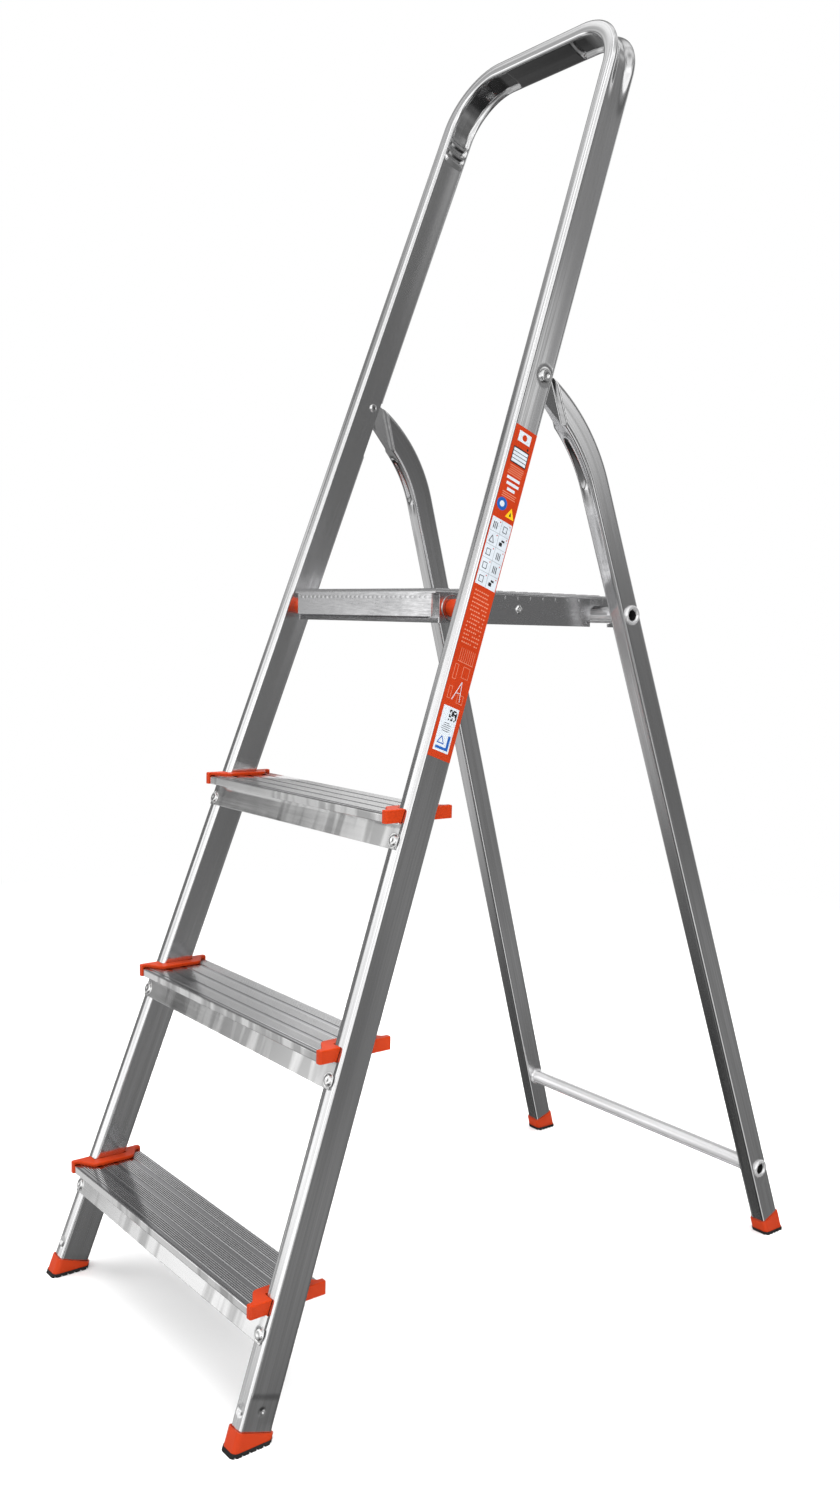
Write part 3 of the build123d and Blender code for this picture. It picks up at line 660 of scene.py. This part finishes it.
def leg_line(pin, inset, lean, reach, radius):
    """A long edge of the leg in the side view, from the foot up round the bend to the pin."""
    foot = (lower.y + lower.z * TAN_B + inset - FOOT_LIFT * TAN_B, FOOT_LIFT)
    end = (pin[0] + reach * cos(lean), pin[1] + reach * sin(lean))
    return edge_line(foot, LEG_LEAN, end, lean, radius, (60, 80, 40))


def rear_leg():
    """The right leg: a bent tube, pressed flat at its top and dented along its front."""
    pin = (hinge_place.y, hinge_place.z / cos(SPLAY))
    inset = LEG_HALF_DEPTH / cos(LEG_LEAN)
    front = leg_line(pin, -inset, *LEG_FRONT_TOP)
    rear = leg_line(pin, inset, *LEG_REAR_TOP)
    ring = rounded_ring(LEG_HALF_WIDTH, LEG_HALF_DEPTH, LEG_CORNER, 12, 18, 6)
    turn = FOLD_ANGLE - LEAN
    away = Vector((cos(turn), sin(turn)))
    vertices, flow = [], []
    run, before = 0.0, (front[0] + rear[0]) / 2
    for f, r in zip(front, rear):
        middle, across = (f + r) / 2, r - f
        run += (middle - before).length
        before = middle
        for number, (out, b, _, _) in enumerate(ring):
            place = middle + across * (b / (2 * LEG_HALF_DEPTH))
            if b < -LEG_HALF_DEPTH + 1e-6:
                place = place + across.normalized() * front_dent(middle.y, out)
            limit = ramp((place - Vector(pin)).dot(away) / MM, FLATTENED) * MM
            out = max(-limit, min(limit, out))
            vertices.append(leg_point(place.x, place.y, out))
            flow.append((number * 1.3 * MM, run, smooth(900 * MM, 985 * MM, place.y)))
    faces = ring_faces(len(front), len(ring)) + end_faces(len(front), len(ring))
    return vertices, faces, flow


def front_dent(up, out):
    """The hollow pressed into the front of the leg's bend, then a shallow rippled channel."""
    up = up / MM
    deep = 4.8 * smooth(975, 1000, up) * smooth(1068, 1050, up) * hump(out, 8.5 * MM)
    lip = -0.9 * hump(up - 972, 5) * hump(out, 7 * MM)
    ripple = 0.25 * sin(up * 2 * pi / 11) + 0.75
    channel = 0.8 * ripple * smooth(905, 912, up) * smooth(972, 960, up) * hump(out, 9 * MM)
    return (deep + lip + channel) * MM


def bore_cutter(centre):
    """A plain cylinder along X for cutting."""
    profile = [(-30 * MM, BORE_RADIUS), (30 * MM, BORE_RADIUS)]
    return lathe("cutter", profile, [(centre, (1, 0, 0))], rivet_metal, None)


def both_legs():
    """The right leg and its mirror image, bored for the cross tubes."""
    vertices, faces, flow = rear_leg()
    for side, sign in SIDES.items():
        placed = [Vector((sign * v.x, v.y, v.z)) for v in vertices]
        name = f"leg_tube_{side}"
        piece = new_piece(name, placed, faces, leg_metal, "rear_frame", flow, LEG_SHARP)
        cutters = []
        for brace, centre in brace_centre.items():
            cutters.append(bore_cutter(Vector((sign * brace_end[brace], centre.y, centre.z))))
        carve(piece, cutters, LEG_SHARP)
        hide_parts(f"rear_leg_{side}")


both_legs()


# RIVETS AND CROSS TUBES
# profiles are (distance along the axis, radius), in millimetres
TREAD_RIVET = [
    (-8.0, 3.0), (-2.6, 3.0), (-2.2, 8.2), (-1.75, 8.3), (-1.60, 7.9), (-1.72, 7.2), (-1.9, 6.6),
    (-1.7, 6.2), (-1.1, 6.1), (-0.5, 5.6), (-0.15, 4.6), (0.0, 3.2), (-0.1, 2.0), (-0.25, 0.6),
    (-0.25, 0.05),
]
HINGE_INNER = [
    (-16.0, 0.05), (-16.0, 2.0), (-22.0, 2.1), (-22.3, 2.7), (-22.2, 3.6), (-21.7, 4.8),
    (-21.0, 5.5), (-20.2, 5.6), (-19.6, 5.4), (-19.0, 4.0),
]
HINGE_OUTER = [
    (-2.5, 4.0), (-1.7, 11.0), (-0.9, 10.6), (-0.75, 9.6), (-0.9, 8.4), (-0.7, 7.6), (0.8, 7.5),
    (1.7, 7.0), (2.25, 6.1), (2.4, 5.0), (2.2, 3.9), (1.5, 2.8), (0.7, 2.0), (0.45, 1.2), (0.4, 0.05),
]
HINGE_PROUD = 2.4 * MM
CROSS_OUTER = [
    (-45.0, 0.05), (-45.0, 6.6), (0.6, 6.7), (1.6, 7.0), (2.5, 7.7), (3.05, 8.7), (3.2, 9.7),
    (3.0, 10.7), (2.4, 11.6), (1.3, 12.2), (0.0, 12.3), (-0.9, 11.8), (-2.0, 10.0),
]
CROSS_BEAD = [(2.0, 10.0), (0.5, 11.9), (-1.8, 12.2), (-3.0, 11.0), (-3.6, 10.0)]
FLANGE_RIVET = [
    (-3.0, 0.05), (-3.0, 1.5), (-0.3, 1.6), (0.0, 2.1), (-0.1, 3.0), (-0.5, 4.0), (-1.1, 4.9),
    (-1.7, 5.0), (-3.5, 3.0),
]


def frontmost(node, sign, toward):
    """Middle of the flat that a node has furthest along a direction, on one side."""
    points = [v.co for v in nodes[node].data.vertices if v.co.x * sign > 0]
    best = max(point.dot(toward) for point in points)
    near = [point for point in points if point.dot(toward) > best - 0.2 * MM]
    return sum(near, Vector()) / len(near)


def tread_rivets():
    """Domed heads, each in a pressed ring, holding a tread's apron to the stiles."""
    toward = Vector((0, -COS_A, SIN_A))
    profile = in_metres(TREAD_RIVET)
    for tread in TREADS:
        places = [(frontmost(tread + "_rivets", sign, toward), toward) for sign in SIDES.values()]
        piece = lathe(tread + "_rivet_heads", profile, places, rivet_metal, "front_frame")
        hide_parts(tread + "_rivets")


def paint_bore_shade(piece, centre, radius, reach):
    """Painted shade inside a hole along X: a near-black finish for faces nearer to the ladder's middle than
    reach.
    """
    piece.data.materials.append(bore_painted_shade)
    for polygon in piece.data.polygons:
        middle = polygon.center
        away = hypot(middle.y - centre.y, middle.z - centre.z)
        if away < radius and abs(middle.x) < reach:
            polygon.material_index = 1


def hinge_rivets():
    """A through rivet at each hinge: a dented dome outside and a small hollow head inside."""
    narrower = 2 * HALF_WIDTH - 2 * HALF_WIDTH / cos(FLARE_ANGLE)
    profile = in_metres(HINGE_INNER, narrower) + in_metres(HINGE_OUTER)
    for side, sign in SIDES.items():
        low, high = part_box(f"leg_hinge_rivet_{side}")
        reach = max(abs(low.x), abs(high.x)) - HINGE_PROUD
        centre = Vector((sign * reach, hinge_place.y, hinge_place.z))
        places = [(centre, (sign, 0, 0))]
        piece = lathe(f"hinge_rivet_{side}", profile, places, rivet_metal, "rear_frame")
        # painted shade inside the small hollow head
        paint_bore_shade(piece, centre, 2.2 * MM, reach - 10 * MM)
        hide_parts(f"leg_hinge_rivet_{side}")


def cross_tubes():
    """Round tubes through both legs, with a bead inside and a rolled funnel ring outside."""
    for name, centre in brace_centre.items():
        face = brace_end[name] + LEG_HALF_WIDTH
        right = in_metres(CROSS_OUTER, face) + in_metres(CROSS_BEAD, face - 2 * LEG_HALF_WIDTH)
        left = [(-along, radius) for along, radius in right]
        places = [(Vector((0, centre.y, centre.z)), (1, 0, 0))]
        piece = lathe(name + "_bar", left + right[::-1], places, rod_metal, "rear_frame")
        # painted shade inside the tube's open ends
        paint_bore_shade(piece, centre, 6.65 * MM, face)
        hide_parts(name)


def flange_rivets():
    """Hollow rivets with a four-sided crimp on the platform's side flanges."""
    places = []
    for sign in SIDES.values():
        toward = Vector((sign, 0, 0))
        places.append((frontmost("platform_rivets", sign, toward), toward))
    profile = in_metres(FLANGE_RIVET)
    piece = lathe("flange_rivets", profile, places, rivet_metal, "platform", lobes=0.10)
    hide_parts("platform_rivets")


tread_rivets()
hinge_rivets()
cross_tubes()
flange_rivets()


# PRINTED LABEL
# its shapes are laid out in millimetres: across from the front edge, then along from the foot
INKS = {
    "film": ((0.36, 0.028, 0.004), (0.40, 0.034, 0.006), 0.30),
    "white": ((0.46, 0.50, 0.54), (0.52, 0.56, 0.60), 0.32),
    "pale": ((0.50, 0.17, 0.10), (0.56, 0.21, 0.13), 0.32),
    "dark": ((0.012, 0.012, 0.014), (0.020, 0.020, 0.022), 0.35),
    "grey": ((0.16, 0.17, 0.18), (0.20, 0.21, 0.22), 0.32),
    "blue": ((0.010, 0.070, 0.28), (0.015, 0.090, 0.34), 0.32),
    "yellow": ((0.70, 0.42, 0.01), (0.78, 0.48, 0.02), 0.32),
}
inks = {name: moulded_plastic("label_" + name, *ink, 1500.0, 0.01 * MM) for name, ink in INKS.items()}
LABEL_WIDE = 33 * MM
LABEL_SHIFT = 0.8 * MM


def label_spot(across, along, level):
    """A point of the label: across from its front edge, along from its foot, height above the tube."""
    b = across - LABEL_WIDE / 2 + LABEL_SHIFT
    a = HALF_WIDTH - crown(b, FACE_HALF, FACE_CROWN) + level
    x, up, out_x, out_up = hoop_station(label_foot / cos(FLARE_ANGLE) + along)
    return frame_point(x + a * out_x, up + a * out_up, b + HALF_DEPTH)


label_low, label_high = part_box("rating_label")
label_rise = label_high.z - label_low.z - LABEL_WIDE * SIN_A
LABEL_LONG = label_rise / (COS_A * cos(FLARE_ANGLE))
label_foot = (label_low.z + LABEL_WIDE * SIN_A / 2 + (HALF_DEPTH + LABEL_SHIFT) * SIN_A) / COS_A


def raised_shape(outline, low, high):
    """A thin raised shape from its corner points."""
    count = len(outline)
    vertices = [label_spot(u * MM, v * MM, high * MM) for u, v in outline]
    vertices += [label_spot(u * MM, v * MM, low * MM) for u, v in outline]
    faces = [list(range(count))]
    for i in range(count):
        k = (i + 1) % count
        faces.append([i, k, count + k, count + i])
    return vertices, faces


def bar(u0, v0, u1, v1):
    """The corners of a plain bar."""
    return [(u0, v0), (u1, v0), (u1, v1), (u0, v1)]


def disc(u, v, radius, sides=32):
    """The corners of a near circle."""
    turns = [2 * pi * side / sides for side in range(sides)]
    return [(u + radius * cos(turn), v + radius * sin(turn)) for turn in turns]


def frame_bars(u0, v0, u1, v1, line):
    """The four sides of a thin rectangular outline."""
    return [
        bar(u0, v0, u1, v0 + line), bar(u0, v1 - line, u1, v1),
        bar(u0, v0 + line, u0 + line, v1 - line), bar(u1 - line, v0 + line, u1, v1 - line),
    ]


def slant(u0, v0, u1, v1, line):
    """A thin sloping line."""
    half = line / 2 / hypot(u1 - u0, v1 - v0)
    du, dv = -(v1 - v0) * half, (u1 - u0) * half
    return [(u0 - du, v0 - dv), (u1 - du, v1 - dv), (u1 + du, v1 + dv), (u0 + du, v0 + dv)]


def label_base():
    """The orange film, in strips so that it follows the crowned face."""
    strips = spread(0, LABEL_WIDE, 10)
    vertices = []
    for level in (0.02 * MM, 0.30 * MM):
        for along in (0.0, LABEL_LONG):
            vertices += [label_spot(across, along, level) for across in strips]
    count = len(strips)
    faces = []
    for i in range(count - 1):
        for low_row, high_row in ((2, 3), (0, 1), (0, 2), (1, 3)):
            low, high = low_row * count + i, high_row * count + i
            faces.append([low, low + 1, high + 1, high])
    for i in (0, count - 1):
        faces.append([i, count + i, 3 * count + i, 2 * count + i])
    film = new_piece("label_film", vertices, faces, inks["film"], "front_frame", sharp=30.0)
    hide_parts("rating_label")


def split_wide(outline):
    """Cuts a wide bar into strips, so that it follows the crowned face under it."""
    (u0, v0), (u1, _), (_, v1) = outline[:3]
    if len(outline) != 4 or outline[3] != (u0, v1) or u1 - u0 < 5:
        return [outline]
    edges = spread(u0, u1, ceil((u1 - u0) / 4))
    return [bar(start, v0, end, v1) for start, end in zip(edges, edges[1:])]


def text_rows(dice, low, high, pitch, height, left, right, ragged):
    """Rows of plain bars where fine print would be."""
    rows = []
    v = high
    while v > low:
        start = left + dice.random() * ragged
        rows.append(bar(start, v - height, right - dice.random() * ragged, v))
        v -= pitch
    return rows


def header_print(dice, layers):
    """A plain plate, a panel with rows, and bars in place of words."""
    layers["white"].append(bar(7, 368, 26, 380))
    layers["film"].append(disc(16.5, 374, 3.6))
    layers["dark_low"] += [disc(25, 363.5, 1.5), bar(4.5, 341.5, 28.5, 360.5)]
    layers["plate"] += [bar(5.6, 343 + row * 4.2, 27.4, 343 + row * 4.2 + 3.4) for row in range(4)]
    layers["pale"] += text_rows(dice, 329, 339, 2.4, 0.9, 5, 28, 3.0)
    layers["white"] += [bar(6, 322.5, 26, 325.8), bar(7.5, 316, 26.5, 319.3)]
    layers["white"] += [bar(10.5, 309.5, 22.5, 312.8)]
    layers["pale"] += text_rows(dice, 302, 307, 2.4, 0.9, 5, 27, 2.0)


def badge_print(layers):
    """A blue disc and a yellow triangle, both plain."""
    layers["blue"].append(disc(9.2, 292.5, 7.4, 40))
    layers["white_high"].append(disc(9.2, 292.5, 3.4, 24))
    layers["yellow"].append([(17.8, 281), (31.4, 281), (24.6, 293)])
    layers["dark"].append([(22.9, 283.2), (26.3, 283.2), (24.6, 288.6)])


def panel_shape(kind, u, v):
    """One of four simple shapes: a frame, three bars, a tent or two blocks, round a middle."""
    if kind == 0:
        return frame_bars(u - 3.2, v - 3.8, u + 3.2, v + 3.8, 0.7)
    if kind == 1:
        middles = [u + offset for offset in (-2.4, 0.0, 2.4)]
        return [bar(middle - 0.5, v - 4, middle + 0.5, v + 4) for middle in middles]
    if kind == 2:
        sides = [slant(u - 3.5, v - 4, u, v + 4, 0.8), slant(u, v + 4, u + 3.5, v - 4, 0.8)]
        return sides + [bar(u - 3.6, v - 4.4, u + 3.6, v - 3.6)]
    return [bar(u - 3.5, v - 3.5, u + 1.0, v + 0.5), bar(u - 1.0, v + 1.5, u + 3.5, v + 3.8)]


def panel_print(dice, layers):
    """A white field of ten panels, each with one simple plain shape and a small corner dot."""
    layers["white"].append(bar(1.5, 196.5, 31.8, 275.3))
    layers["rule"].append(bar(16.4, 196.5, 16.8, 275.3))
    layers["rule"] += [bar(1.5, 212.0 + row * 15.7, 31.8, 212.4 + row * 15.7) for row in range(4)]
    for row in range(5):
        for column in range(2):
            u, v = 1.5 + column * 15.2, 196.5 + row * 15.7
            layers["dark"] += panel_shape(dice.randrange(4), u + 6.6, v + 7.2)
            layers["red_dot"].append(disc(u + 12.6, v + 13.0, 0.8, 16))


def table_print(dice, layers):
    """Rows of small ticks, thin vertical lines and empty outlines on the lower half."""
    for row in range(14):
        v = 189 - row * 4.6
        for column in range(8):
            if dice.random() < 0.85:
                u = 4.5 + column * 3.1
                layers["pale"].append(bar(u, v, u + 1.5 + dice.random() * 0.7, v + 1.5))
    for column in range(8):
        u = 7.5 + column * 2.9
        layers["pale"].append(bar(u, 109, u + 0.45, 124))
    layers["pale"].append(bar(6.5, 108.2, 29, 108.9))
    layers["pale"] += frame_bars(5, 88, 10, 105, 0.5) + frame_bars(5, 66, 9.5, 80, 0.5)
    layers["pale"] += frame_bars(17, 92, 27, 105, 0.5) + frame_bars(19, 64, 28, 74, 0.5)
    layers["white"] += [slant(12, 66, 20.5, 88, 0.9), slant(20.5, 88, 23.5, 66, 0.7)]
    layers["white"] += [slant(15.3, 74.5, 22.2, 75.5, 0.6)]


def sticker_print(dice, layers):
    """A white sticker with a square of dots, a blue mark and a few thin lines."""
    layers["white"].append(bar(4.5, 8, 27, 58))
    for row in range(7):
        for column in range(7):
            if dice.random() < 0.55:
                u, v = 14.5 + column * 1.6, 43.5 + row * 1.7
                layers["dark"].append(bar(u, v, u + 1.6, v + 1.7))
    layers["blue_high"] += [bar(7, 10.5, 25, 13.5), bar(21.5, 13.5, 25, 27)]
    layers["blue_high"] += [slant(8, 17, 12.5, 25, 1.1), slant(12.5, 25, 17, 17, 1.1)]
    layers["blue_high"] += [bar(7.6, 16.4, 17.4, 17.6)]
    layers["grey"] += text_rows(dice, 30, 40, 2.2, 0.6, 7, 22, 4.0)


# each layer's colour, and its underside and top above the tube, in millimetres
LAYER_LOOKS = {
    "white": ("white", 0.29, 0.36), "pale": ("pale", 0.29, 0.34),
    "dark_low": ("dark", 0.29, 0.34), "blue": ("blue", 0.29, 0.42),
    "yellow": ("yellow", 0.29, 0.41), "plate": ("white", 0.33, 0.39),
    "dark": ("dark", 0.35, 0.45), "film": ("film", 0.35, 0.42),
    "white_high": ("white", 0.41, 0.46), "blue_high": ("blue", 0.35, 0.41),
    "red_dot": ("film", 0.35, 0.40), "grey": ("dark", 0.35, 0.39),
    "rule": ("grey", 0.35, 0.39),
}


def label_print():
    """Everything printed on the film, one piece for each layer."""
    dice = random.Random(7)
    layers = {name: [] for name in LAYER_LOOKS}
    header_print(dice, layers)
    badge_print(layers)
    panel_print(dice, layers)
    table_print(dice, layers)
    sticker_print(dice, layers)
    for name, outlines in layers.items():
        ink, low, high = LAYER_LOOKS[name]
        strips = [strip for outline in outlines for strip in split_wide(outline)]
        shapes = [raised_shape(strip, low, high) for strip in strips]
        gather("label_" + name, shapes, inks[ink], "front_frame", 20.0)


label_base()
label_print()


# PRESSED DETAILS OF THE PLATFORM'S SHEET
pan_low, pan_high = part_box("platform_pan")
DECK_Z = pan_high.z - 1.0 * MM
FRONT_DROP, REAR_DROP = 31 * MM, 24 * MM
HEM_RADIUS, HEM_CORNER, HEM_INSET = 1.9 * MM, 5 * MM, 12 * MM
RIDGE_PITCH = 9 * MM
LENS_SIDES = 16


def sweep_bar(path, radius, sides=12):
    """A round bar along a list of points, closed at both ends."""
    vertices = []
    for number, point in enumerate(path):
        before, after = path[max(0, number - 1)], path[min(len(path) - 1, number + 1)]
        along = (after - before).normalized()
        upward = Vector((0, 0, 1)) if abs(along.z) < 0.9 else Vector((1, 0, 0))
        side = along.cross(upward).normalized()
        other = along.cross(side)
        for turn in spread(0, 2 * pi, sides)[:-1]:
            away = side * cos(turn) + other * sin(turn)
            vertices.append(point + away * radius)
    return vertices, ring_faces(len(path), sides) + end_faces(len(path), sides)


def lens(centre, normal, along, half_long, half_high, proud):
    """A shallow oval bump on a flat face."""
    across = normal.cross(along)
    vertices = [centre + normal * proud]
    for scale, lift in ((0.6, 0.75), (1.0, 0.0), (1.0, -1.5)):
        for turn in spread(0, 2 * pi, LENS_SIDES)[:-1]:
            edge = along * cos(turn) * half_long + across * sin(turn) * half_high
            vertices.append(centre + edge * scale + normal * proud * lift)
    faces = [[0, 1 + i, 1 + (i + 1) % LENS_SIDES] for i in range(LENS_SIDES)]
    faces += [[1 + quad[i] for i in (0, 3, 2, 1)] for quad in ring_faces(3, LENS_SIDES)]
    faces.append([1 + 2 * LENS_SIDES + i for i in range(LENS_SIDES)])
    return vertices, faces


def pan_hems():
    """Rolled hems under the front and rear flanges, in a dark sheet finish that is painted shade under the
    flanges.
    """
    wide = pan_high.x - HEM_INSET
    shapes = []
    for y, drop in ((pan_low.y + HEM_RADIUS, FRONT_DROP), (pan_high.y - HEM_RADIUS, REAR_DROP)):
        low = DECK_Z - drop
        path = [Vector((wide, y, DECK_Z - 6 * MM))]
        for angle in spread(0, pi / 2, 8):
            x = wide - HEM_CORNER + HEM_CORNER * cos(angle)
            path.append(Vector((x, y, low + HEM_CORNER - HEM_CORNER * sin(angle))))
        path += [Vector((-point.x, point.y, point.z)) for point in reversed(path)]
        shapes.append(sweep_bar(path, HEM_RADIUS))
    gather("platform_hems", shapes, hem_metal_painted_shade, "platform")


def pan_pressings():
    """Short ridges along the flanges' upper edges, and a ridge round each pivot bush."""
    shapes = []
    count = int((pan_high.x - 14 * MM) / RIDGE_PITCH)
    front, rightward, upward = Vector((0, -1, 0)), Vector((1, 0, 0)), Vector((0, 0, 1))
    for step in range(-count, count + 1):
        place = Vector((step * RIDGE_PITCH, pan_low.y, DECK_Z - 9.5 * MM))
        shapes.append(lens(place, front, rightward, 4.0 * MM, 2.0 * MM, 0.09 * MM))
    for sign in SIDES.values():
        face = sign * pan_high.x
        for step in range(13):
            place = Vector((face, pan_low.y + (24 + 20 * step) * MM, DECK_Z - 7.0 * MM))
            shapes.append(lens(place, rightward * sign, upward, 3.0 * MM, 0.9 * MM, 0.20 * MM))
        arc = []
        for turn in spread(radians(70), radians(290), 24):
            away = Vector((0, cos(turn), sin(turn))) * 14.5 * MM
            arc.append(Vector((face, platform_pin.y, platform_pin.z)) + away)
        shapes.append(sweep_bar(arc, 0.9 * MM, 8))
    gather("platform_pressings", shapes, sheet_metal, "platform")


pan_hems()
pan_pressings()


# FINISHES OF THE PIECES THAT STAY AS THEY ARE
def finish_of(name):
    """The material of a CAD node."""
    if name in TREADS:
        return tread_finish(name + "_metal", tread_high[name].z)
    if "cap" in name or "bush" in name or "shoe" in name:
        return orange_plastic
    if "sole" in name:
        return sole_rubber
    if "rivet" in name:
        return rivet_metal
    return sheet_metal if "platform" in name else rod_metal


for name, node in nodes.items():
    node.data.materials.clear()
    node.data.materials.append(finish_of(name))


# CAMERA, FLOOR AND LIGHT
CAMERA_YAW, CAMERA_PITCH, CAMERA_ROLL = 51.611, -5.56, 1.492
CAMERA_LENS = 31.48
CAMERA_PLACE = (1.2784, FOOT_Y - 0.6218, 0.8192)
FLOOR_FADE = (0.9, 2.6)  # metres from the middle, where the floor turns into plain white


def stage_camera():
    """The photograph's viewpoint."""
    yaw, pitch, roll = [radians(turn) for turn in (CAMERA_YAW, CAMERA_PITCH, CAMERA_ROLL)]
    level = cos(pitch)
    forward = Vector((-sin(yaw) * level, cos(yaw) * level, sin(pitch)))
    right = forward.cross(Vector((0, 0, 1))).normalized()
    up = right.cross(forward)
    x_axis = right * cos(roll) + up * sin(roll)
    y_axis = up * cos(roll) - right * sin(roll)
    data = bpy.data.cameras.new("camera")
    data.lens = CAMERA_LENS
    data.clip_start, data.clip_end = 0.05, 100.0
    camera = bpy.data.objects.new("camera", data)
    matrix = Matrix((x_axis, y_axis, -forward)).transposed().to_4x4()
    matrix.translation = Vector(CAMERA_PLACE)
    camera.matrix_world = matrix
    bpy.context.scene.collection.objects.link(camera)
    bpy.context.scene.camera = camera


def stage_floor():
    """A pale floor that fades to white a few metres out. It doesn't show in the metal."""
    bpy.ops.mesh.primitive_circle_add(vertices=96, radius=30.0, fill_type="NGON")
    floor = bpy.context.object
    floor.name = "floor"
    material, shader = principled("floor_paper", (0.93, 0.93, 0.93), 0.95)
    tree = material.node_tree
    distance = add_node(tree, "ShaderNodeVectorMath", operation="LENGTH")
    wire(object_vector(tree), distance.inputs[0])
    glow = add_node(tree, "ShaderNodeEmission")
    mix = add_node(tree, "ShaderNodeMixShader")
    fade = between(distance.outputs["Value"], 0.0, 1.0, FLOOR_FADE)
    for number, source in enumerate((fade, shader.outputs[0], glow.outputs[0])):
        wire(source, mix.inputs[number])
    wire(mix.outputs[0], tree.nodes["Material Output"].inputs["Surface"])
    floor.data.materials.append(material)
    floor.visible_glossy = False


def stage_backdrop():
    """A white dome that only the camera sees."""
    bpy.ops.mesh.primitive_uv_sphere_add(segments=48, ring_count=24, radius=40.0)
    dome = bpy.context.object
    dome.name = "backdrop"
    material = bpy.data.materials.new("backdrop_white")
    material.use_nodes = True
    tree = material.node_tree
    glow = add_node(tree, "ShaderNodeEmission")
    wire(glow.outputs[0], tree.nodes["Material Output"].inputs["Surface"])
    dome.data.materials.append(material)
    for ray in ("glossy", "diffuse", "shadow", "transmission"):
        setattr(dome, "visible_" + ray, False)


def soft_lamp(name, place, aim, size, power):
    """A square lamp for the floor and the plastics. The metal reflects the world's panels instead."""
    data = bpy.data.lights.new(name, "AREA")
    data.shape = "RECTANGLE"
    data.size, data.size_y = size, size
    data.energy = power
    lamp = bpy.data.objects.new(name, data)
    lamp.location = place
    lamp.rotation_mode = "QUATERNION"
    lamp.rotation_quaternion = (Vector(aim) - Vector(place)).to_track_quat("-Z", "Y")
    lamp.visible_glossy = False
    bpy.context.scene.collection.objects.link(lamp)


# name, place, aim, size and power
LAMPS = [
    ("key", (-3.2, -3.4, 3.2), (0, 0, 0.6), 2.6, 70),
    ("top", (0.6, 0.2, 4.6), (0, 0, 0), 4.5, 330),
    ("side", (3.6, -1.6, 2.2), (0, 0, 0.8), 2.4, 40),
]
# in degrees: (compass angles), (heights), (softness across and upward), and then the brightness
PANELS = [
    ((-145, 14), (-5, 62), (2.5, 6), 1.15),
    ((-180, -146), (18, 23), (5, 3), 0.60),
    ((-180, -146), (32, 60), (6, 4), 0.58),
    ((-180, -120), (-32, -9), (8, 4), 0.34),
    ((41.5, 45.5), (9.5, 17), (1.5, 2), 1.05),
    ((134, 147.5), (10, 28), (1.5, 3), 0.80),
    ((-42, 2), (-52, -20), (5, 4), 0.75),
    ((-135, -104), (-52, -28), (6, 5), 0.16),
    ((-178, -156), (-58, -46), (5, 3), 0.75),
    ((-84, -58), (-24, -8), (6, 4), 0.55),
    ((75, 128), (-5, 50), (8, 8), 0.55),
    ((132, 176), (5, 26), (6, 4), 0.44),
]


def ramp_between(angle, low, high, start, end):
    """From low at the start angle to high at the end angle, both in degrees."""
    return between(angle, low, high, (radians(start), radians(end)))


def window_of(angle, low, high, soft):
    """1 between two angles in degrees, fading out over soft on both sides."""
    opening = ramp_between(angle, 0.0, 1.0, low - soft, low + soft)
    closing = ramp_between(angle, 1.0, 0.0, high - soft, high + soft)
    return math_node("MULTIPLY", opening, closing)


def room_light(compass, climb):
    """A dark ground, a brighter ceiling and the panels, added up."""
    ground = ramp_between(climb, 0.025, 0.20, -48, -27)
    total = math_node("ADD", ground, ramp_between(climb, 0.0, 0.70, 42, 76))
    for azimuth, elevation, soft, strength in PANELS:
        across = window_of(compass, *azimuth, soft[0])
        upward = window_of(climb, *elevation, soft[1])
        lit = math_node("MULTIPLY", across, upward)
        total = math_node("MULTIPLY_ADD", lit, strength, total)
    return total


def stage_world():
    """A dim room with large soft panels and a slow unevenness, stronger high up."""
    world = bpy.data.worlds.new("studio")
    bpy.context.scene.world = world
    world.use_nodes = True
    tree = world.node_tree
    direction = add_node(tree, "ShaderNodeTexCoord").outputs["Generated"]
    split = split_xyz(direction)
    compass = math_node("ARCTAN2", split["Y"], split["X"])
    climb = math_node("ARCSINE", split["Z"])
    light = room_light(compass, climb)
    clutter = noise_at(direction, (3.4, 3.4, 4.6), 1.0, 0.5)
    mix = add_node(tree, "ShaderNodeMix", data_type="FLOAT")
    wire(ramp_between(climb, 0.0, 1.0, 20, 34), mix.inputs["Factor"])
    wire(between(clutter, 0.70, 1.25, (0.38, 0.62)), mix.inputs["A"])
    wire(between(clutter, 0.42, 1.25, (0.36, 0.60)), mix.inputs["B"])
    uneven = math_node("MULTIPLY", light, mix.outputs["Result"])
    wire(uneven, tree.nodes["Background"].inputs["Color"])


stage_camera()
stage_floor()
stage_backdrop()
stage_world()
for lamp in LAMPS:
    soft_lamp(*lamp)
bpy.context.scene.view_settings.view_transform = "Standard"
